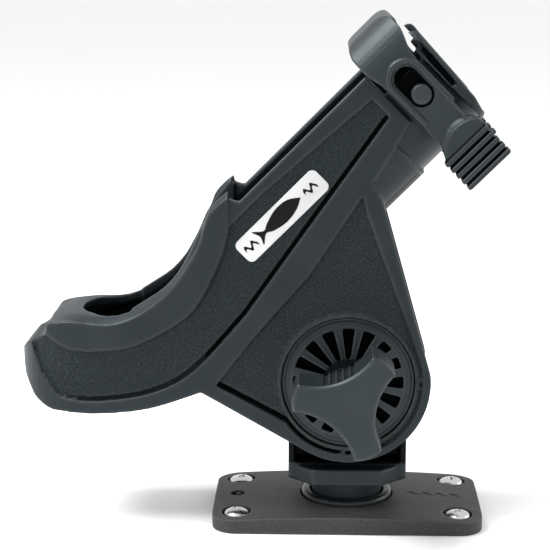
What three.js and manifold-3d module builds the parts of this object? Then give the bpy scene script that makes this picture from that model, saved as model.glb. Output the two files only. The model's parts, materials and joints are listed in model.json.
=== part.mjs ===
// A rod holder: an open channel cradle that tilts on a clamp bolt, on a post that swivels in a
// screwed-down base plate. Millimetres, +Z up, +X towards the rod's tip, origin at the middle of
// the base plate's underside. "Right" is the -Y side, where the clamp knob is.
import * as THREE from "three";
import { mergeVertices } from "three/addons/utils/BufferGeometryUtils.js";
import Module from "manifold-3d";

const wasm = await Module();
wasm.setup();

// ---- driving dimensions -------------------------------------------------------------------

const GAP = 0.3; // clearance between pieces that touch
const SMOOTH = 0.05; // how far a face may move when slivers are cleaned off

const BASE = { length: 110, width: 61, corner: 9.9, edgeX: 6.2, edgeY: 7.0, crown: 8.1 };
const SCREW = { x: 45, y: 20.5, recess: 6.4, floor: 2.9, hole: 2.8, head: 4.75, shank: 2.4, tip: 0.4 };
const SOCKET = { outer: 18.8, inner: 14.95, floor: 2.0, top: 9.8 };
const POST = { radius: 14.6, top: 18.2 };
const FLANGE = { halfX: 24, halfY: 22, bottom: 17.6, top: 24.3, chamfer: 8 };
const TONGUE = { half: 15, radius: 26, toothRadius: 23.5, toothHalf: 16.4, bore: 5.0 };

const PIVOT_HEIGHT = 61.3; // tilt axis above the deck
const TILT = Math.PI / 4; // slope of the channel as stored

const WALL = { half: 24.3, inner: 20.5, thin: 19.5, thick: 16.8, recess: 1.3 };
const CHANNEL = { axis: 61, outer: 24.4, neck: 23, step: 79.5, front: 90.5, top: 82.3 };
const LOBE = 33; // radius of the plates' lower lobe
const DISC = { radius: 26.4, hub: 24.2, face: 22.2, step: 19.1, back: 16.9, bore: 5.0 };
const SLOTS = { count: 16, inner: 10, outer: 22, tip: 1.0, root: 2.4, depth: 1.6 };
const BOLT = { radius: 4.6, tip: 52, head: 7.5, headFrom: 24.4, headTo: 30.4 };
const WASHER = { outer: 11, bore: 5.0, from: 22.5, to: 24.1 };

const KNOB = { face: 58, back: 39, foot: 24.4, lobe: 22, spread: 17.5, hub: 10.5, hollow: 34, first: 49.5 };
const INSERT = { outer: 7.0, bore: 4.95, from: 24.7, to: 54 };

const PIN = { u: 101, v: 62.9, head: 4, stem: 2.4, seat: 2.7, inside: 20.9, shoulder: 23.3, end: 29.4 };
const RING = { from: 90.8, to: 112.9, inner: 25.2, outer: 29.2, underCap: 90.4, overCap: 95, corner: 16 };
const ARM = { slot: 4.6, travel: 8.3, rim: 1.3, rimOuter: 7.7, rimInner: 5.9, rimFoot: 53, foot: 34 };
const TAB = { from: 88.6, to: 110.5, top: 38, bottom: 23.6, out: 33.2, ribs: 5, gap: 0.7 };
const GATE = {
  from: 110.8, to: 116.5, half: 24.9, bottom: 40, top: 84.5, saddle: 72, corner: 12, sweep: 0.5,
  back: 113.4, step: 70.5,
};

/** The rear shoe in plan: how far back its parts reach, and how round their ends are. */
const SHOE = {
  rear: -133.6, corner: 20, roomRear: -124.5, roomCorner: 16,
  collarRear: -124.2, collarCorner: 18, collar: 1.2,
};

/** Where the moulded body is divided into nodes: behind the channel, and along the rod at the tube's step. */
const DIVIDE = { rear: -57, front: 79.5, reach: 400 };

const BADGE = { u: 29, v: 66.5, length: 44, height: 10.5, corner: 2.5, from: 23.3, to: 23.8 };

// ---- shape helpers ------------------------------------------------------------------------

/** A closed three.js geometry as a manifold solid with its faces pointing out. */
function solid(geometry) {
  const bare = geometry.clone();
  for (const extra of ["normal", "uv"]) bare.deleteAttribute(extra);
  const merged = mergeVertices(bare, 1e-4);
  const corners = merged.getAttribute("position").array;
  const index = merged.getIndex().array;
  const faces = [];
  let volume = 0;
  const [a, b, c] = [new THREE.Vector3(), new THREE.Vector3(), new THREE.Vector3()];
  for (let i = 0; i < index.length; i += 3) {
    const [p, q, r] = index.slice(i, i + 3);
    if (p === q || q === r || r === p) continue;
    faces.push(p, q, r);
    a.fromArray(corners, p * 3);
    b.fromArray(corners, q * 3).cross(c.fromArray(corners, r * 3));
    volume += a.dot(b);
  }
  if (volume < 0) faces.reverse();
  const triVerts = Uint32Array.from(faces);
  return new wasm.Manifold(new wasm.Mesh({ numProp: 3, vertProperties: corners, triVerts }));
}

/** Extrudes an outline drawn in X and Z sideways, from y0 to y1. */
function sideways(outline, y0, y1, curveSegments = 12) {
  const options = { depth: y1 - y0, bevelEnabled: false, curveSegments };
  return new THREE.ExtrudeGeometry(outline, options).rotateX(Math.PI / 2).translate(0, y1, 0);
}

/** Extrudes an outline drawn in X and Y upwards, from z0 to z1. */
function upwards(outline, z0, z1, curveSegments = 12) {
  const options = { depth: z1 - z0, bevelEnabled: false, curveSegments };
  return new THREE.ExtrudeGeometry(outline, options).translate(0, 0, z0);
}

/** Extrudes a cross-section drawn in Y and Z forwards, from x0 to x1. */
function forwards(outline, x0, x1, curveSegments = 12) {
  const options = { depth: x1 - x0, bevelEnabled: false, curveSegments };
  const basis = new THREE.Matrix4().makeBasis(
    new THREE.Vector3(0, 1, 0),
    new THREE.Vector3(0, 0, 1),
    new THREE.Vector3(1, 0, 0),
  );
  return new THREE.ExtrudeGeometry(outline, options).applyMatrix4(basis).translate(x0, 0, 0);
}

/** Turns a geometry drawn along the rod (u forwards, v up from it) to the stored slope. */
const sloped = (geometry) => geometry.rotateY(-TILT);

/** A point given along the rod, in the level side plane. */
const onSlope = (u, v) => new THREE.Vector2((u - v) * Math.SQRT1_2, (u + v) * Math.SQRT1_2);

/** A turned solid about +Z from [radius, height] pairs. */
const turned = (profile, segments = 40) =>
  new THREE.LatheGeometry(profile.map(([r, h]) => new THREE.Vector2(r, h)), segments).rotateX(Math.PI / 2);

/** A cylinder along Y from y0 to y1, about (x, z). */
const crossPin = (radius, y0, y1, x = 0, z = 0, segments = 32) =>
  new THREE.CylinderGeometry(radius, radius, y1 - y0, segments).translate(x, (y0 + y1) / 2, z);

/** Carries a shape's outline on along a smooth line through points, in a few straight steps. */
function smoothly(shape, points, steps) {
  const start = shape.currentPoint.clone();
  for (const p of new THREE.SplineCurve([start, ...points]).getPoints(steps).slice(1)) shape.lineTo(p.x, p.y);
}

const polygon = (points) => new THREE.Shape(points.map((p) => (p.isVector2 ? p : new THREE.Vector2(...p))));

/** A rectangle with round corners, about (x, y). */
function roundedRectangle(width, height, radius, x = 0, y = 0) {
  const [w, h] = [width / 2 - radius, height / 2 - radius];
  const shape = new THREE.Shape();
  shape.absarc(x + w, y - h, radius, -Math.PI / 2, 0);
  shape.absarc(x + w, y + h, radius, 0, Math.PI / 2);
  shape.absarc(x - w, y + h, radius, Math.PI / 2, Math.PI);
  shape.absarc(x - w, y - h, radius, Math.PI, Math.PI * 1.5);
  shape.closePath();
  return shape;
}

const union = (...parts) => parts.reduce((whole, part) => whole.add(part));

/** The solid and its mirror image on the other side of the middle plane. */
const bothSides = (make) => union(make(1), make(-1));

/** Sideways extrusion between two distances from the middle plane, on the side given by its sign. */
const onSide = (side, outline, near, far, curveSegments) =>
  side > 0 ? sideways(outline, near, far, curveSegments) : sideways(outline, -far, -near, curveSegments);

const SIDES = { left: 1, right: -1 };

// ---- materials ----------------------------------------------------------------------------

const finish = (color, roughness, metalness = 0) =>
  new THREE.MeshStandardMaterial({ color, roughness, metalness });
const nylon = finish(0x33393c, 0.6);
const nylonBase = finish(0x454544, 0.7);
const nylonGloss = finish(0x1c1d1f, 0.25);
const steel = finish(0xb9bcbe, 0.3, 1);
const brass = finish(0xb08d4a, 0.35, 1);
const foil = finish(0xdadcde, 0.3, 0.6);

function mesh(name, shape, material) {
  const { numProp, vertProperties, triVerts } = shape.simplify(SMOOTH).getMesh();
  const corners = new Float32Array((vertProperties.length / numProp) * 3);
  for (let i = 0; i * numProp < vertProperties.length; i++) {
    corners.set(vertProperties.subarray(i * numProp, i * numProp + 3), i * 3);
  }
  const geometry = new THREE.BufferGeometry();
  geometry.setAttribute("position", new THREE.BufferAttribute(corners, 3));
  geometry.setIndex(new THREE.BufferAttribute(triVerts, 1));
  geometry.computeVertexNormals();
  const piece = new THREE.Mesh(geometry, material);
  piece.name = name;
  return piece;
}

// ---- base ---------------------------------------------------------------------------------

/** The screws' places, one in each corner of the plate. */
const screwPlaces = [
  [-1, -1],
  [1, -1],
  [-1, 1],
  [1, 1],
].map(([x, y]) => [x * SCREW.x, y * SCREW.y]);

/** A shallow bow from -half to half, edge high at its ends and crown high in the middle. */
function bow(half, edge, crown) {
  const shape = new THREE.Shape();
  shape.moveTo(-half, 0);
  shape.lineTo(half, 0);
  shape.lineTo(half, edge);
  shape.quadraticCurveTo(0, 2 * crown - edge, -half, edge);
  shape.closePath();
  return shape;
}

function basePlate() {
  const plan = upwards(roundedRectangle(BASE.length, BASE.width, BASE.corner), 0, BASE.crown + 1, 5);
  const reach = BASE.length;
  const lengthBow = sideways(bow(BASE.length / 2, BASE.edgeX, BASE.crown), -reach, reach, 6);
  const widthBow = forwards(bow(BASE.width / 2, BASE.edgeY, BASE.crown), -reach, reach, 4);
  let plate = solid(plan).intersect(solid(lengthBow)).intersect(solid(widthBow));
  const well = [
    [0, SOCKET.floor],
    [SOCKET.outer + GAP, SOCKET.floor],
    [SOCKET.outer + GAP, BASE.crown + 2],
    [0, BASE.crown + 2],
  ];
  plate = plate.subtract(solid(turned(well, 36)));
  const screwWell = [
    [0, -1],
    [SCREW.hole, -1],
    [SCREW.hole, SCREW.floor],
    [SCREW.recess - 0.5, SCREW.floor],
    [SCREW.recess, BASE.crown + 2],
    [0, BASE.crown + 2],
  ];
  for (const [x, y] of screwPlaces) plate = plate.subtract(solid(turned(screwWell, 16).translate(x, y, 0)));
  return plate;
}

function mountingScrew(x, y) {
  const seat = SCREW.floor + GAP;
  const body = [
    [0, SCREW.tip],
    [SCREW.shank, SCREW.tip],
    [SCREW.shank, seat],
    [SCREW.head, seat],
    [SCREW.head, seat + 1.3],
    [SCREW.head * 0.8, seat + 2.6],
    [SCREW.head * 0.42, seat + 3.2],
    [0, seat + 3.3],
  ];
  const slot = new THREE.BoxGeometry(SCREW.head, 1.1, 1.7);
  const driveHeight = seat + 2.9;
  return solid(turned(body, 16))
    .subtract(solid(slot.clone().translate(0, 0, driveHeight)))
    .subtract(solid(slot.clone().rotateZ(Math.PI / 2).translate(0, 0, driveHeight)))
    .translate(x, y, 0);
}

/** The splined bush that the post's foot sits in. */
function swivelBush() {
  const profile = [
    [SOCKET.inner, SOCKET.floor + GAP],
    [SOCKET.outer, SOCKET.floor + GAP],
    [SOCKET.outer, SOCKET.top - 1.2],
    [SOCKET.outer - 1.2, SOCKET.top],
    [SOCKET.inner + 0.8, SOCKET.top],
    [SOCKET.inner, SOCKET.top - 0.8],
    [SOCKET.inner, SOCKET.floor + GAP],
  ];
  return solid(turned(profile, 36));
}

// ---- bracket ------------------------------------------------------------------------------

function postBracket() {
  const foot = SOCKET.floor + 2 * GAP;
  const post = solid(
    turned(
      [
        [0, foot],
        [POST.radius - 1, foot],
        [POST.radius, foot + 1],
        [POST.radius, POST.top],
        [0, POST.top],
      ],
      48,
    ),
  );
  const { halfX, halfY, chamfer } = FLANGE;
  const flangePlan = polygon([
    [-halfX, -halfY],
    [halfX - chamfer, -halfY],
    [halfX, -halfY + chamfer],
    [halfX, halfY - chamfer],
    [halfX - chamfer, halfY],
    [-halfX, halfY],
  ]);
  const flange = solid(upwards(flangePlan, FLANGE.bottom, FLANGE.top));
  const block = solid(
    new THREE.BoxGeometry(2 * FLANGE.halfX, 2 * TONGUE.half, PIVOT_HEIGHT - FLANGE.bottom - 1).translate(
      0,
      0,
      (PIVOT_HEIGHT + FLANGE.bottom + 1) / 2,
    ),
  );
  const eye = solid(crossPin(TONGUE.radius, -TONGUE.half, TONGUE.half, 0, PIVOT_HEIGHT, 48));
  const teeth = solid(crossPin(TONGUE.toothRadius, -TONGUE.toothHalf, TONGUE.toothHalf, 0, PIVOT_HEIGHT, 40));
  const bore = solid(crossPin(TONGUE.bore, -30, 30, 0, PIVOT_HEIGHT, 24));
  return union(post, flange, block, eye, teeth).subtract(bore);
}

// ---- holder body (about the tilt axis) ----------------------------------------------------

/** The top edge of the rear collar, from the toe up to the ear. */
const collarTop = [
  [-124, 19.2],
  [-121.5, 21.8],
  [-119, 23.9],
  [-114, 25],
  [-101.3, 24.6],
  [-91, 25.6],
  [-80.9, 30.3],
  [-73.7, 35.6],
  [-68, 41.6],
  [-61.2, 51.5],
  [-58.6, 58.5],
  [-56, 66],
].map(([x, z]) => new THREE.Vector2(x, z));

/** The lower edge of the rear collar, from the ear down to the toe. */
const collarFoot = [
  [-47.6, 63],
  [-51, 49.7],
  [-60.7, 31],
  [-71.8, 21.9],
  [-86.6, 14.8],
  [-99.3, 13.2],
  [-109.7, 13.5],
  [-116.5, 15.1],
  [-124, 16.2],
].map(([x, z]) => new THREE.Vector2(x, z));

/** The back of the shoe, from under the collar down to the sole. */
const heel = [
  [-127.3, 15],
  [-129.2, 14.2],
  [SHOE.rear, 9],
  [-131.8, -0.3],
  [-127, -8.2],
];

/** The sole of the shoe, from the heel to the notch. */
const sole = [
  [-127, -8.2],
  [-120.7, -12.1],
  [-113, -13],
  [-99.9, -13.5],
  [-79.8, -11.2],
  [-58.9, -4.3],
].map(([x, z]) => new THREE.Vector2(x, z));

const EAR_TIP = onSlope(18.4, 86.8);

/** The side plates' whole outline. */
function plateOutline() {
  const shape = new THREE.Shape();
  shape.moveTo(-124, 17);
  for (const [x, z] of heel) shape.lineTo(x, z);
  smoothly(shape, sole.slice(1), 8);
  const leave = THREE.MathUtils.degToRad(242);
  shape.lineTo(LOBE * Math.cos(leave), LOBE * Math.sin(leave));
  shape.absarc(0, 0, LOBE, leave, THREE.MathUtils.degToRad(366));
  const edge = [onSlope(60.5, 41.7), onSlope(63.9, 50.9), onSlope(CHANNEL.front, 57.7)];
  for (const p of edge) shape.lineTo(p.x, p.y);
  const crest = [onSlope(CHANNEL.front, CHANNEL.top), onSlope(21, CHANNEL.top), EAR_TIP];
  for (const p of crest) shape.lineTo(p.x, p.y);
  shape.lineTo(-56, 66);
  smoothly(shape, collarTop.slice(0, -1).reverse(), 16);
  shape.closePath();
  return shape;
}

/** A plan outline with a round rear end: straight sides at half, its end at rear. */
function shoePlan(rear, half, corner, front = 60) {
  const shape = new THREE.Shape();
  shape.moveTo(front, -half);
  shape.lineTo(front, half);
  shape.lineTo(rear + corner * 1.5, half);
  shape.quadraticCurveTo(rear + 1, half, rear, 0);
  shape.quadraticCurveTo(rear + 1, -half, rear + corner * 1.5, -half);
  shape.closePath();
  return shape;
}

/** The rear cradle's opening in plan. */
function openingPlan() {
  const shape = new THREE.Shape();
  shape.moveTo(-50, -WALL.inner);
  shape.lineTo(-50, WALL.inner);
  shape.lineTo(-90, WALL.inner - 1);
  shape.bezierCurveTo(-100, 18, -108, 12, -108.5, 0);
  shape.bezierCurveTo(-108, -12, -100, -18, -90, -WALL.inner + 1);
  shape.closePath();
  return shape;
}

/** The band between the collar's foot and its top edge. */
function collarBand() {
  const shape = new THREE.Shape();
  shape.moveTo(collarTop[0].x - 8, collarTop[0].y);
  shape.lineTo(collarTop[0].x, collarTop[0].y);
  smoothly(shape, collarTop.slice(1), 16);
  shape.lineTo(EAR_TIP.x, EAR_TIP.y);
  shape.lineTo(collarFoot[0].x, collarFoot[0].y);
  smoothly(shape, collarFoot.slice(1), 14);
  shape.lineTo(collarTop[0].x - 8, collarFoot.at(-1).y);
  shape.closePath();
  return shape;
}

/** Room inside the shoe, below its rim. */
const shoeRoom = () =>
  polygon([
    [-123, 15],
    [-117, -5.5],
    [-113, -7.8],
    [-100, -9.4],
    [-79.8, -7.2],
    [-56, 0.9],
    [-56, 31],
    [-108, 18.5],
  ]);

/** The thin inner lip that stands above the collar on each side of the opening. */
const lipBand = () =>
  polygon([
    [-86.4, 22],
    [-71.6, 30],
    [-63, 40],
    [-57, 54],
    [-50, 64],
    [-47.6, 74.4],
    [-53.9, 68.8],
    [-59.9, 58.5],
    [-64.3, 49.6],
    [-71.6, 37.8],
    [-86.4, 28.5],
  ]);

/** The sunk, grained panel beside the channel. */
function upperPanel() {
  const shape = new THREE.Shape();
  const start = onSlope(86, 74.4);
  shape.moveTo(start.x, start.y);
  shape.lineTo(...onSlope(86, 64.8));
  for (const [x, z] of [
    [-16, 63.1],
    [-40.9, 27.6],
    [-62, 4.3],
    [-79.7, -5],
    [-99.7, -7.4],
    [-108, -6.2],
    [-108, 13.7],
    [-99.3, 13.0],
    [-86.6, 14.4],
    [-71.8, 21.5],
    [-60.3, 30.6],
    [-50.6, 49.5],
    [-46.5, 64.5],
    [-34.3, 76.1],
  ]) {
    shape.lineTo(x, z);
  }
  shape.closePath();
  return shape;
}

/** The sunk panel in the wedge above the tilt boss. */
const wedgePanel = () =>
  polygon([
    [5.1, 75.7],
    [-15.9, 43.4],
    [-38.1, 17.7],
    [-52.9, -1.4],
    [-24, -16.5],
    [-27, -8],
    [-26, 11],
    [-15, 25.5],
    [4, 29.6],
    [19, 23],
    [26.7, 13.7],
    [21.6, 28],
    [7.1, 67.4],
  ]);

/** Cross-section of the channel's inside, running up out of its open top. */
function channelRoom(radius) {
  const shape = new THREE.Shape();
  shape.moveTo(radius, 140);
  shape.lineTo(-radius, 140);
  shape.lineTo(-radius, CHANNEL.axis);
  shape.absarc(0, CHANNEL.axis, radius, Math.PI, 2 * Math.PI);
  shape.closePath();
  return shape;
}

/** Cross-section of the channel's outside up to a wall height. */
function tubeSection(radius, wallTop) {
  const shape = new THREE.Shape();
  shape.moveTo(radius, wallTop);
  shape.lineTo(-radius, wallTop);
  shape.lineTo(-radius, CHANNEL.axis);
  shape.absarc(0, CHANNEL.axis, radius, Math.PI, 2 * Math.PI);
  shape.closePath();
  return shape;
}

/** The front flange that the locking ring closes against, seen along the rod. */
function gateSection() {
  const { half, bottom, top, corner } = GATE;
  const shape = new THREE.Shape();
  shape.moveTo(half, top);
  shape.lineTo(-half, top);
  shape.lineTo(-half, bottom + corner);
  shape.quadraticCurveTo(-half, bottom, -half + corner, bottom - 2);
  shape.lineTo(half - corner, bottom - 2);
  shape.quadraticCurveTo(half, bottom, half, bottom + corner);
  shape.closePath();
  return shape;
}

/** The front flange from the side: its face leans back downwards, and its top stands clear of the cap. */
const gateSide = () =>
  polygon([
    [GATE.from, 30],
    [112.6, 30],
    [113.2, 41],
    [114.7, 47],
    [GATE.to, 80],
    [GATE.to, 95],
    [GATE.back, 95],
    [GATE.back, GATE.step],
    [GATE.from, GATE.step],
  ]);

/** The space that the locking ring's inner face sweeps as it swings about its pins, less a clearance. */
function ringSweep() {
  const inside = RING.corner - (RING.outer - RING.inner);
  const reach = (y) => {
    const past = Math.max(0, Math.abs(y) - (RING.inner - inside));
    return RING.underCap - inside + Math.sqrt(inside ** 2 - past ** 2) - PIN.v - GATE.sweep;
  };
  const steps = 32;
  const profile = [new THREE.Vector2(0, -RING.inner)];
  for (let i = 0; i <= steps; i++) {
    const y = RING.inner * ((2 * i) / steps - 1);
    profile.push(new THREE.Vector2(reach(y), y));
  }
  profile.push(new THREE.Vector2(0, RING.inner));
  const seat = onSlope(PIN.u, PIN.v);
  return new THREE.LatheGeometry(profile, 40).translate(seat.x, 0, seat.y);
}

function holderBody() {
  const { half } = WALL;
  const shell = solid(sideways(plateOutline(), -half, half, 10));
  const rounding = solid(upwards(shoePlan(SHOE.rear, half, SHOE.corner), -60, 160, 6));
  const collarHalf = half + SHOE.collar;
  const collar = solid(sideways(collarBand(), -collarHalf, collarHalf, 8)).intersect(
    solid(upwards(shoePlan(SHOE.collarRear, collarHalf, SHOE.collarCorner), -60, 160, 6)),
  );
  const tube = solid(sloped(forwards(tubeSection(CHANNEL.outer, CHANNEL.axis + 2), 0, CHANNEL.step, 14)));
  const neckSection = tubeSection(CHANNEL.neck, GATE.saddle);
  const neck = solid(sloped(forwards(neckSection, CHANNEL.step - 1, GATE.from + 1, 14)));
  const gate = solid(sloped(forwards(gateSection(), GATE.from, GATE.to, 8)))
    .intersect(solid(ringSweep()))
    .intersect(solid(sloped(sideways(gateSide(), -40, 40))));

  // the hollow between the plates, below the channel, is thicker walled round the tilt axis
  const hollowOutline = polygon([
    [-54, -40], [-54, 0], [-52, 6], onSlope(78, 40), onSlope(78, -20), [50, -40],
  ]);
  const underside = solid(sloped(forwards(tubeSection(CHANNEL.outer, 100), -70, 140, 14)));
  const boss = solid(crossPin(LOBE + 4, -half, half, 0, 0, 36));
  const wide = solid(sideways(hollowOutline, -WALL.thin, WALL.thin));
  const narrow = solid(sideways(hollowOutline, -WALL.thick, WALL.thick));
  const hollow = wide.subtract(boss).add(narrow).subtract(underside);

  const inside = solid(sloped(forwards(channelRoom(WALL.inner), -60, GATE.to + 5, 14)));
  const ahead = solid(new THREE.BoxGeometry(400, 200, 600).translate(-58 + 200, 0, 0));
  const rearRoom = solid(sideways(shoeRoom(), -WALL.inner, WALL.inner)).intersect(
    solid(upwards(shoePlan(SHOE.roomRear, WALL.inner, SHOE.roomCorner), -60, 160, 6)),
  );
  const opening = solid(upwards(openingPlan(), 5, 160, 6)).intersect(
    solid(sideways(polygon([[-150, 5], [-58, 5], [-30, 60], [-30, 160], [-150, 160]]), -60, 60)),
  );
  let body = union(shell.intersect(rounding), collar, tube, neck, gate)
    .subtract(hollow)
    .subtract(inside.intersect(ahead))
    .subtract(rearRoom)
    .subtract(opening);

  body = body.add(bothSides((side) => solid(onSide(side, lipBand(), 18.4, WALL.inner + 1))));

  const sunk = half - WALL.recess;
  for (const side of Object.values(SIDES)) {
    body = body.subtract(solid(onSide(side, upperPanel(), sunk, half + 0.5)));
    body = body.subtract(solid(onSide(side, wedgePanel(), sunk, half + 0.5)));
    const pocket = DISC.step - GAP;
    body = body.subtract(solid(side > 0
      ? crossPin(DISC.radius + GAP, pocket, 40, 0, 0, 36)
      : crossPin(DISC.radius + GAP, -40, -pocket, 0, 0, 36)));
  }
  body = body.subtract(solid(crossPin(DISC.hub + GAP, -40, 40, 0, 0, 36)));
  const seat = onSlope(PIN.u, PIN.v);
  return body.subtract(solid(crossPin(PIN.seat, -40, 40, seat.x, seat.y, 14)));
}

/** The body's three nodes: its rear cradle, its middle with the side plates, and its front tube. */
function dividedBody() {
  const { rear, front, reach } = DIVIDE;
  const behind = solid(new THREE.BoxGeometry(reach, reach, reach).translate(rear - reach / 2, 0, 0));
  const ahead = solid(sloped(new THREE.BoxGeometry(reach, reach, reach).translate(front + reach / 2, 0, 0)));
  const whole = holderBody();
  return {
    rear_cradle: whole.intersect(behind),
    holder_body: whole.subtract(behind).subtract(ahead),
    front_tube: whole.intersect(ahead),
  };
}

// ---- tilt clamp ---------------------------------------------------------------------------

/** One slotted disc. Its slots are cut in the outer face, which points along side. */
function clampDisc(side) {
  const between = (near, far, radius, segments) =>
    side > 0 ? crossPin(radius, near, far, 0, 0, segments) : crossPin(radius, -far, -near, 0, 0, segments);
  let disc = union(
    solid(between(DISC.step, DISC.face, DISC.radius, 36)),
    solid(between(DISC.back, DISC.step + 0.5, DISC.hub, 36)),
  );
  for (let i = 0; i < SLOTS.count; i++) {
    const outline = polygon([
      [SLOTS.inner, -SLOTS.tip / 2],
      [SLOTS.outer - 1.5, -SLOTS.root],
      [SLOTS.outer, -SLOTS.root + 1.2],
      [SLOTS.outer, SLOTS.root - 1.2],
      [SLOTS.outer - 1.5, SLOTS.root],
      [SLOTS.inner, SLOTS.tip / 2],
    ]);
    const slot = onSide(side, outline, DISC.face - SLOTS.depth, DISC.face + 1);
    disc = disc.subtract(solid(slot.rotateY((i / SLOTS.count) * 2 * Math.PI)));
  }
  return disc.subtract(solid(crossPin(DISC.bore, -40, 40, 0, 0, 24)));
}

function tiltBolt() {
  const shank = solid(crossPin(BOLT.radius, -BOLT.tip, BOLT.headFrom + 1, 0, 0, 24));
  const head = solid(crossPin(BOLT.head, BOLT.headFrom, BOLT.headTo, 0, 0, 6));
  return union(shank, head);
}

const washer = (side) =>
  solid(crossPin(WASHER.outer, Math.min(side * WASHER.from, side * WASHER.to),
    Math.max(side * WASHER.from, side * WASHER.to), 0, 0, 32))
    .subtract(solid(crossPin(WASHER.bore, -40, 40, 0, 0, 24)));

/** The knob's three-lobed outline, as seen from the front. */
function knobOutline() {
  const { lobe, hollow, first } = KNOB;
  const spread = THREE.MathUtils.degToRad(KNOB.spread);
  const third = (2 * Math.PI) / 3;
  const shape = new THREE.Shape();
  const around = third / 2;
  const reach = Math.sqrt(hollow ** 2 + lobe ** 2 - 2 * hollow * lobe * Math.cos(around - spread));
  for (let i = 0; i < 3; i++) {
    const middle = THREE.MathUtils.degToRad(first) + i * third;
    shape.absarc(0, 0, lobe, middle - spread, middle + spread);
    const between = middle + around;
    const [cx, cz] = [hollow * Math.cos(between), hollow * Math.sin(between)];
    const from = Math.atan2(lobe * Math.sin(middle + spread) - cz, lobe * Math.cos(middle + spread) - cx);
    const next = middle + third - spread;
    const to = Math.atan2(lobe * Math.sin(next) - cz, lobe * Math.cos(next) - cx);
    shape.absarc(cx, cz, reach, from, to, true);
  }
  shape.closePath();
  return shape;
}

function clampKnob() {
  const lobes = solid(sideways(knobOutline(), -KNOB.face, -KNOB.back, 8));
  const hub = solid(crossPin(KNOB.hub, -KNOB.back - 1, -KNOB.foot, 0, 0, 32));
  const bore = solid(crossPin(INSERT.outer + GAP, -INSERT.to - GAP, 0, 0, 0, 24));
  return union(lobes, hub).subtract(bore);
}

const knobInsert = () =>
  solid(crossPin(INSERT.outer, -INSERT.to, -INSERT.from, 0, 0, 24)).subtract(
    solid(crossPin(INSERT.bore, -INSERT.to - 1, 0, 0, 0, 24)),
  );

// ---- locking ring -------------------------------------------------------------------------

/** The bail seen along the rod: two arms and a cap with large round corners. */
function bailSection() {
  const { inner, outer, underCap, overCap, corner } = RING;
  const shape = new THREE.Shape();
  shape.moveTo(outer, ARM.foot);
  shape.lineTo(outer, overCap - corner);
  shape.absarc(outer - corner, overCap - corner, corner, 0, Math.PI / 2);
  shape.absarc(corner - outer, overCap - corner, corner, Math.PI / 2, Math.PI);
  shape.lineTo(-outer, ARM.foot);
  shape.lineTo(-inner, ARM.foot);
  const inside = corner - (outer - inner);
  shape.lineTo(-inner, underCap - inside);
  shape.absarc(-inner + inside, underCap - inside, inside, Math.PI, Math.PI / 2, true);
  shape.absarc(inner - inside, underCap - inside, inside, Math.PI / 2, 0, true);
  shape.lineTo(inner, ARM.foot);
  shape.closePath();
  return shape;
}

/** A slot outline with a round top, in the side plane. */
function archOutline(half, foot, crown, u = PIN.u) {
  const shape = new THREE.Shape();
  shape.moveTo(u + half, foot);
  shape.absarc(u, crown, half, 0, Math.PI);
  shape.lineTo(u - half, foot);
  shape.closePath();
  return shape;
}

/** A slot outline with round ends, in the side plane. */
function slotOutline(half, low, high) {
  const shape = new THREE.Shape();
  shape.absarc(PIN.u, high, half, 0, Math.PI);
  shape.absarc(PIN.u, low, half, Math.PI, 2 * Math.PI);
  shape.closePath();
  return shape;
}

/** A thumb tab with ribs across its outer face and ends. */
function thumbTab(side) {
  const { from, to, top, bottom, out, ribs, gap } = TAB;
  const crown = polygon([
    [from + 1, bottom],
    [from + 1, top - 1],
    [92.6, 43.6],
    [97, 45.4],
    [101.3, 45.9],
    [105, 45],
    [to - 1.4, 41.2],
    [to - 1, top - 3],
    [to - 1, bottom],
  ]);
  let tab = solid(onSide(side, crown, RING.inner, out - 1.2));
  const pitch = (top - bottom + gap) / ribs;
  for (let i = 0; i < ribs; i++) {
    const low = bottom + i * pitch;
    const bar = polygon([[from, low], [to, low], [to, low + pitch - gap], [from, low + pitch - gap]]);
    tab = tab.add(solid(onSide(side, bar, RING.inner, out)));
  }
  return tab;
}

/** The bail from the side: a broad cap on narrower arms. */
const bailSide = () =>
  polygon([
    [RING.from, 100],
    [RING.from, 84],
    [93, 77],
    [92.5, 58],
    [92.5, 20],
    [107.4, 20],
    [107.4, 44],
    [107.8, 58],
    [109.1, 75],
    [110.2, 79.8],
    [RING.to, 86],
    [RING.to, 100],
  ]);

function lockingRing() {
  const bail = solid(forwards(bailSection(), RING.from, RING.to, 6));
  let ring = bail.intersect(solid(sideways(bailSide(), -40, 40)));
  const top = PIN.v + ARM.travel;
  for (const side of Object.values(SIDES)) {
    const rimArch = archOutline(ARM.rimOuter, ARM.rimFoot, top);
    const rim = solid(onSide(side, rimArch, RING.outer - 1, RING.outer + ARM.rim));
    const roomArch = archOutline(ARM.rimInner, ARM.rimFoot - 5, top);
    const rimRoom = solid(onSide(side, roomArch, RING.outer, RING.outer + 5));
    ring = ring.add(rim.subtract(rimRoom)).add(thumbTab(side));
    const slot = slotOutline(ARM.slot, PIN.v, top);
    ring = ring.subtract(solid(onSide(side, slot, RING.inner - 2, RING.outer + 5)));
  }
  return ring;
}

const pivotPin = (side) =>
  union(
    solid(crossPin(PIN.head, Math.min(side * PIN.shoulder, side * PIN.end),
      Math.max(side * PIN.shoulder, side * PIN.end), PIN.u, PIN.v, 28)),
    solid(crossPin(PIN.stem, Math.min(side * PIN.inside, side * (PIN.shoulder + 1)),
      Math.max(side * PIN.inside, side * (PIN.shoulder + 1)), PIN.u, PIN.v, 20)),
  );

const badge = (side) =>
  solid(onSide(side, roundedRectangle(BADGE.length, BADGE.height, BADGE.corner, BADGE.u, BADGE.v),
    BADGE.from, BADGE.to, 5));

// ---- assembly -----------------------------------------------------------------------------

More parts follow.
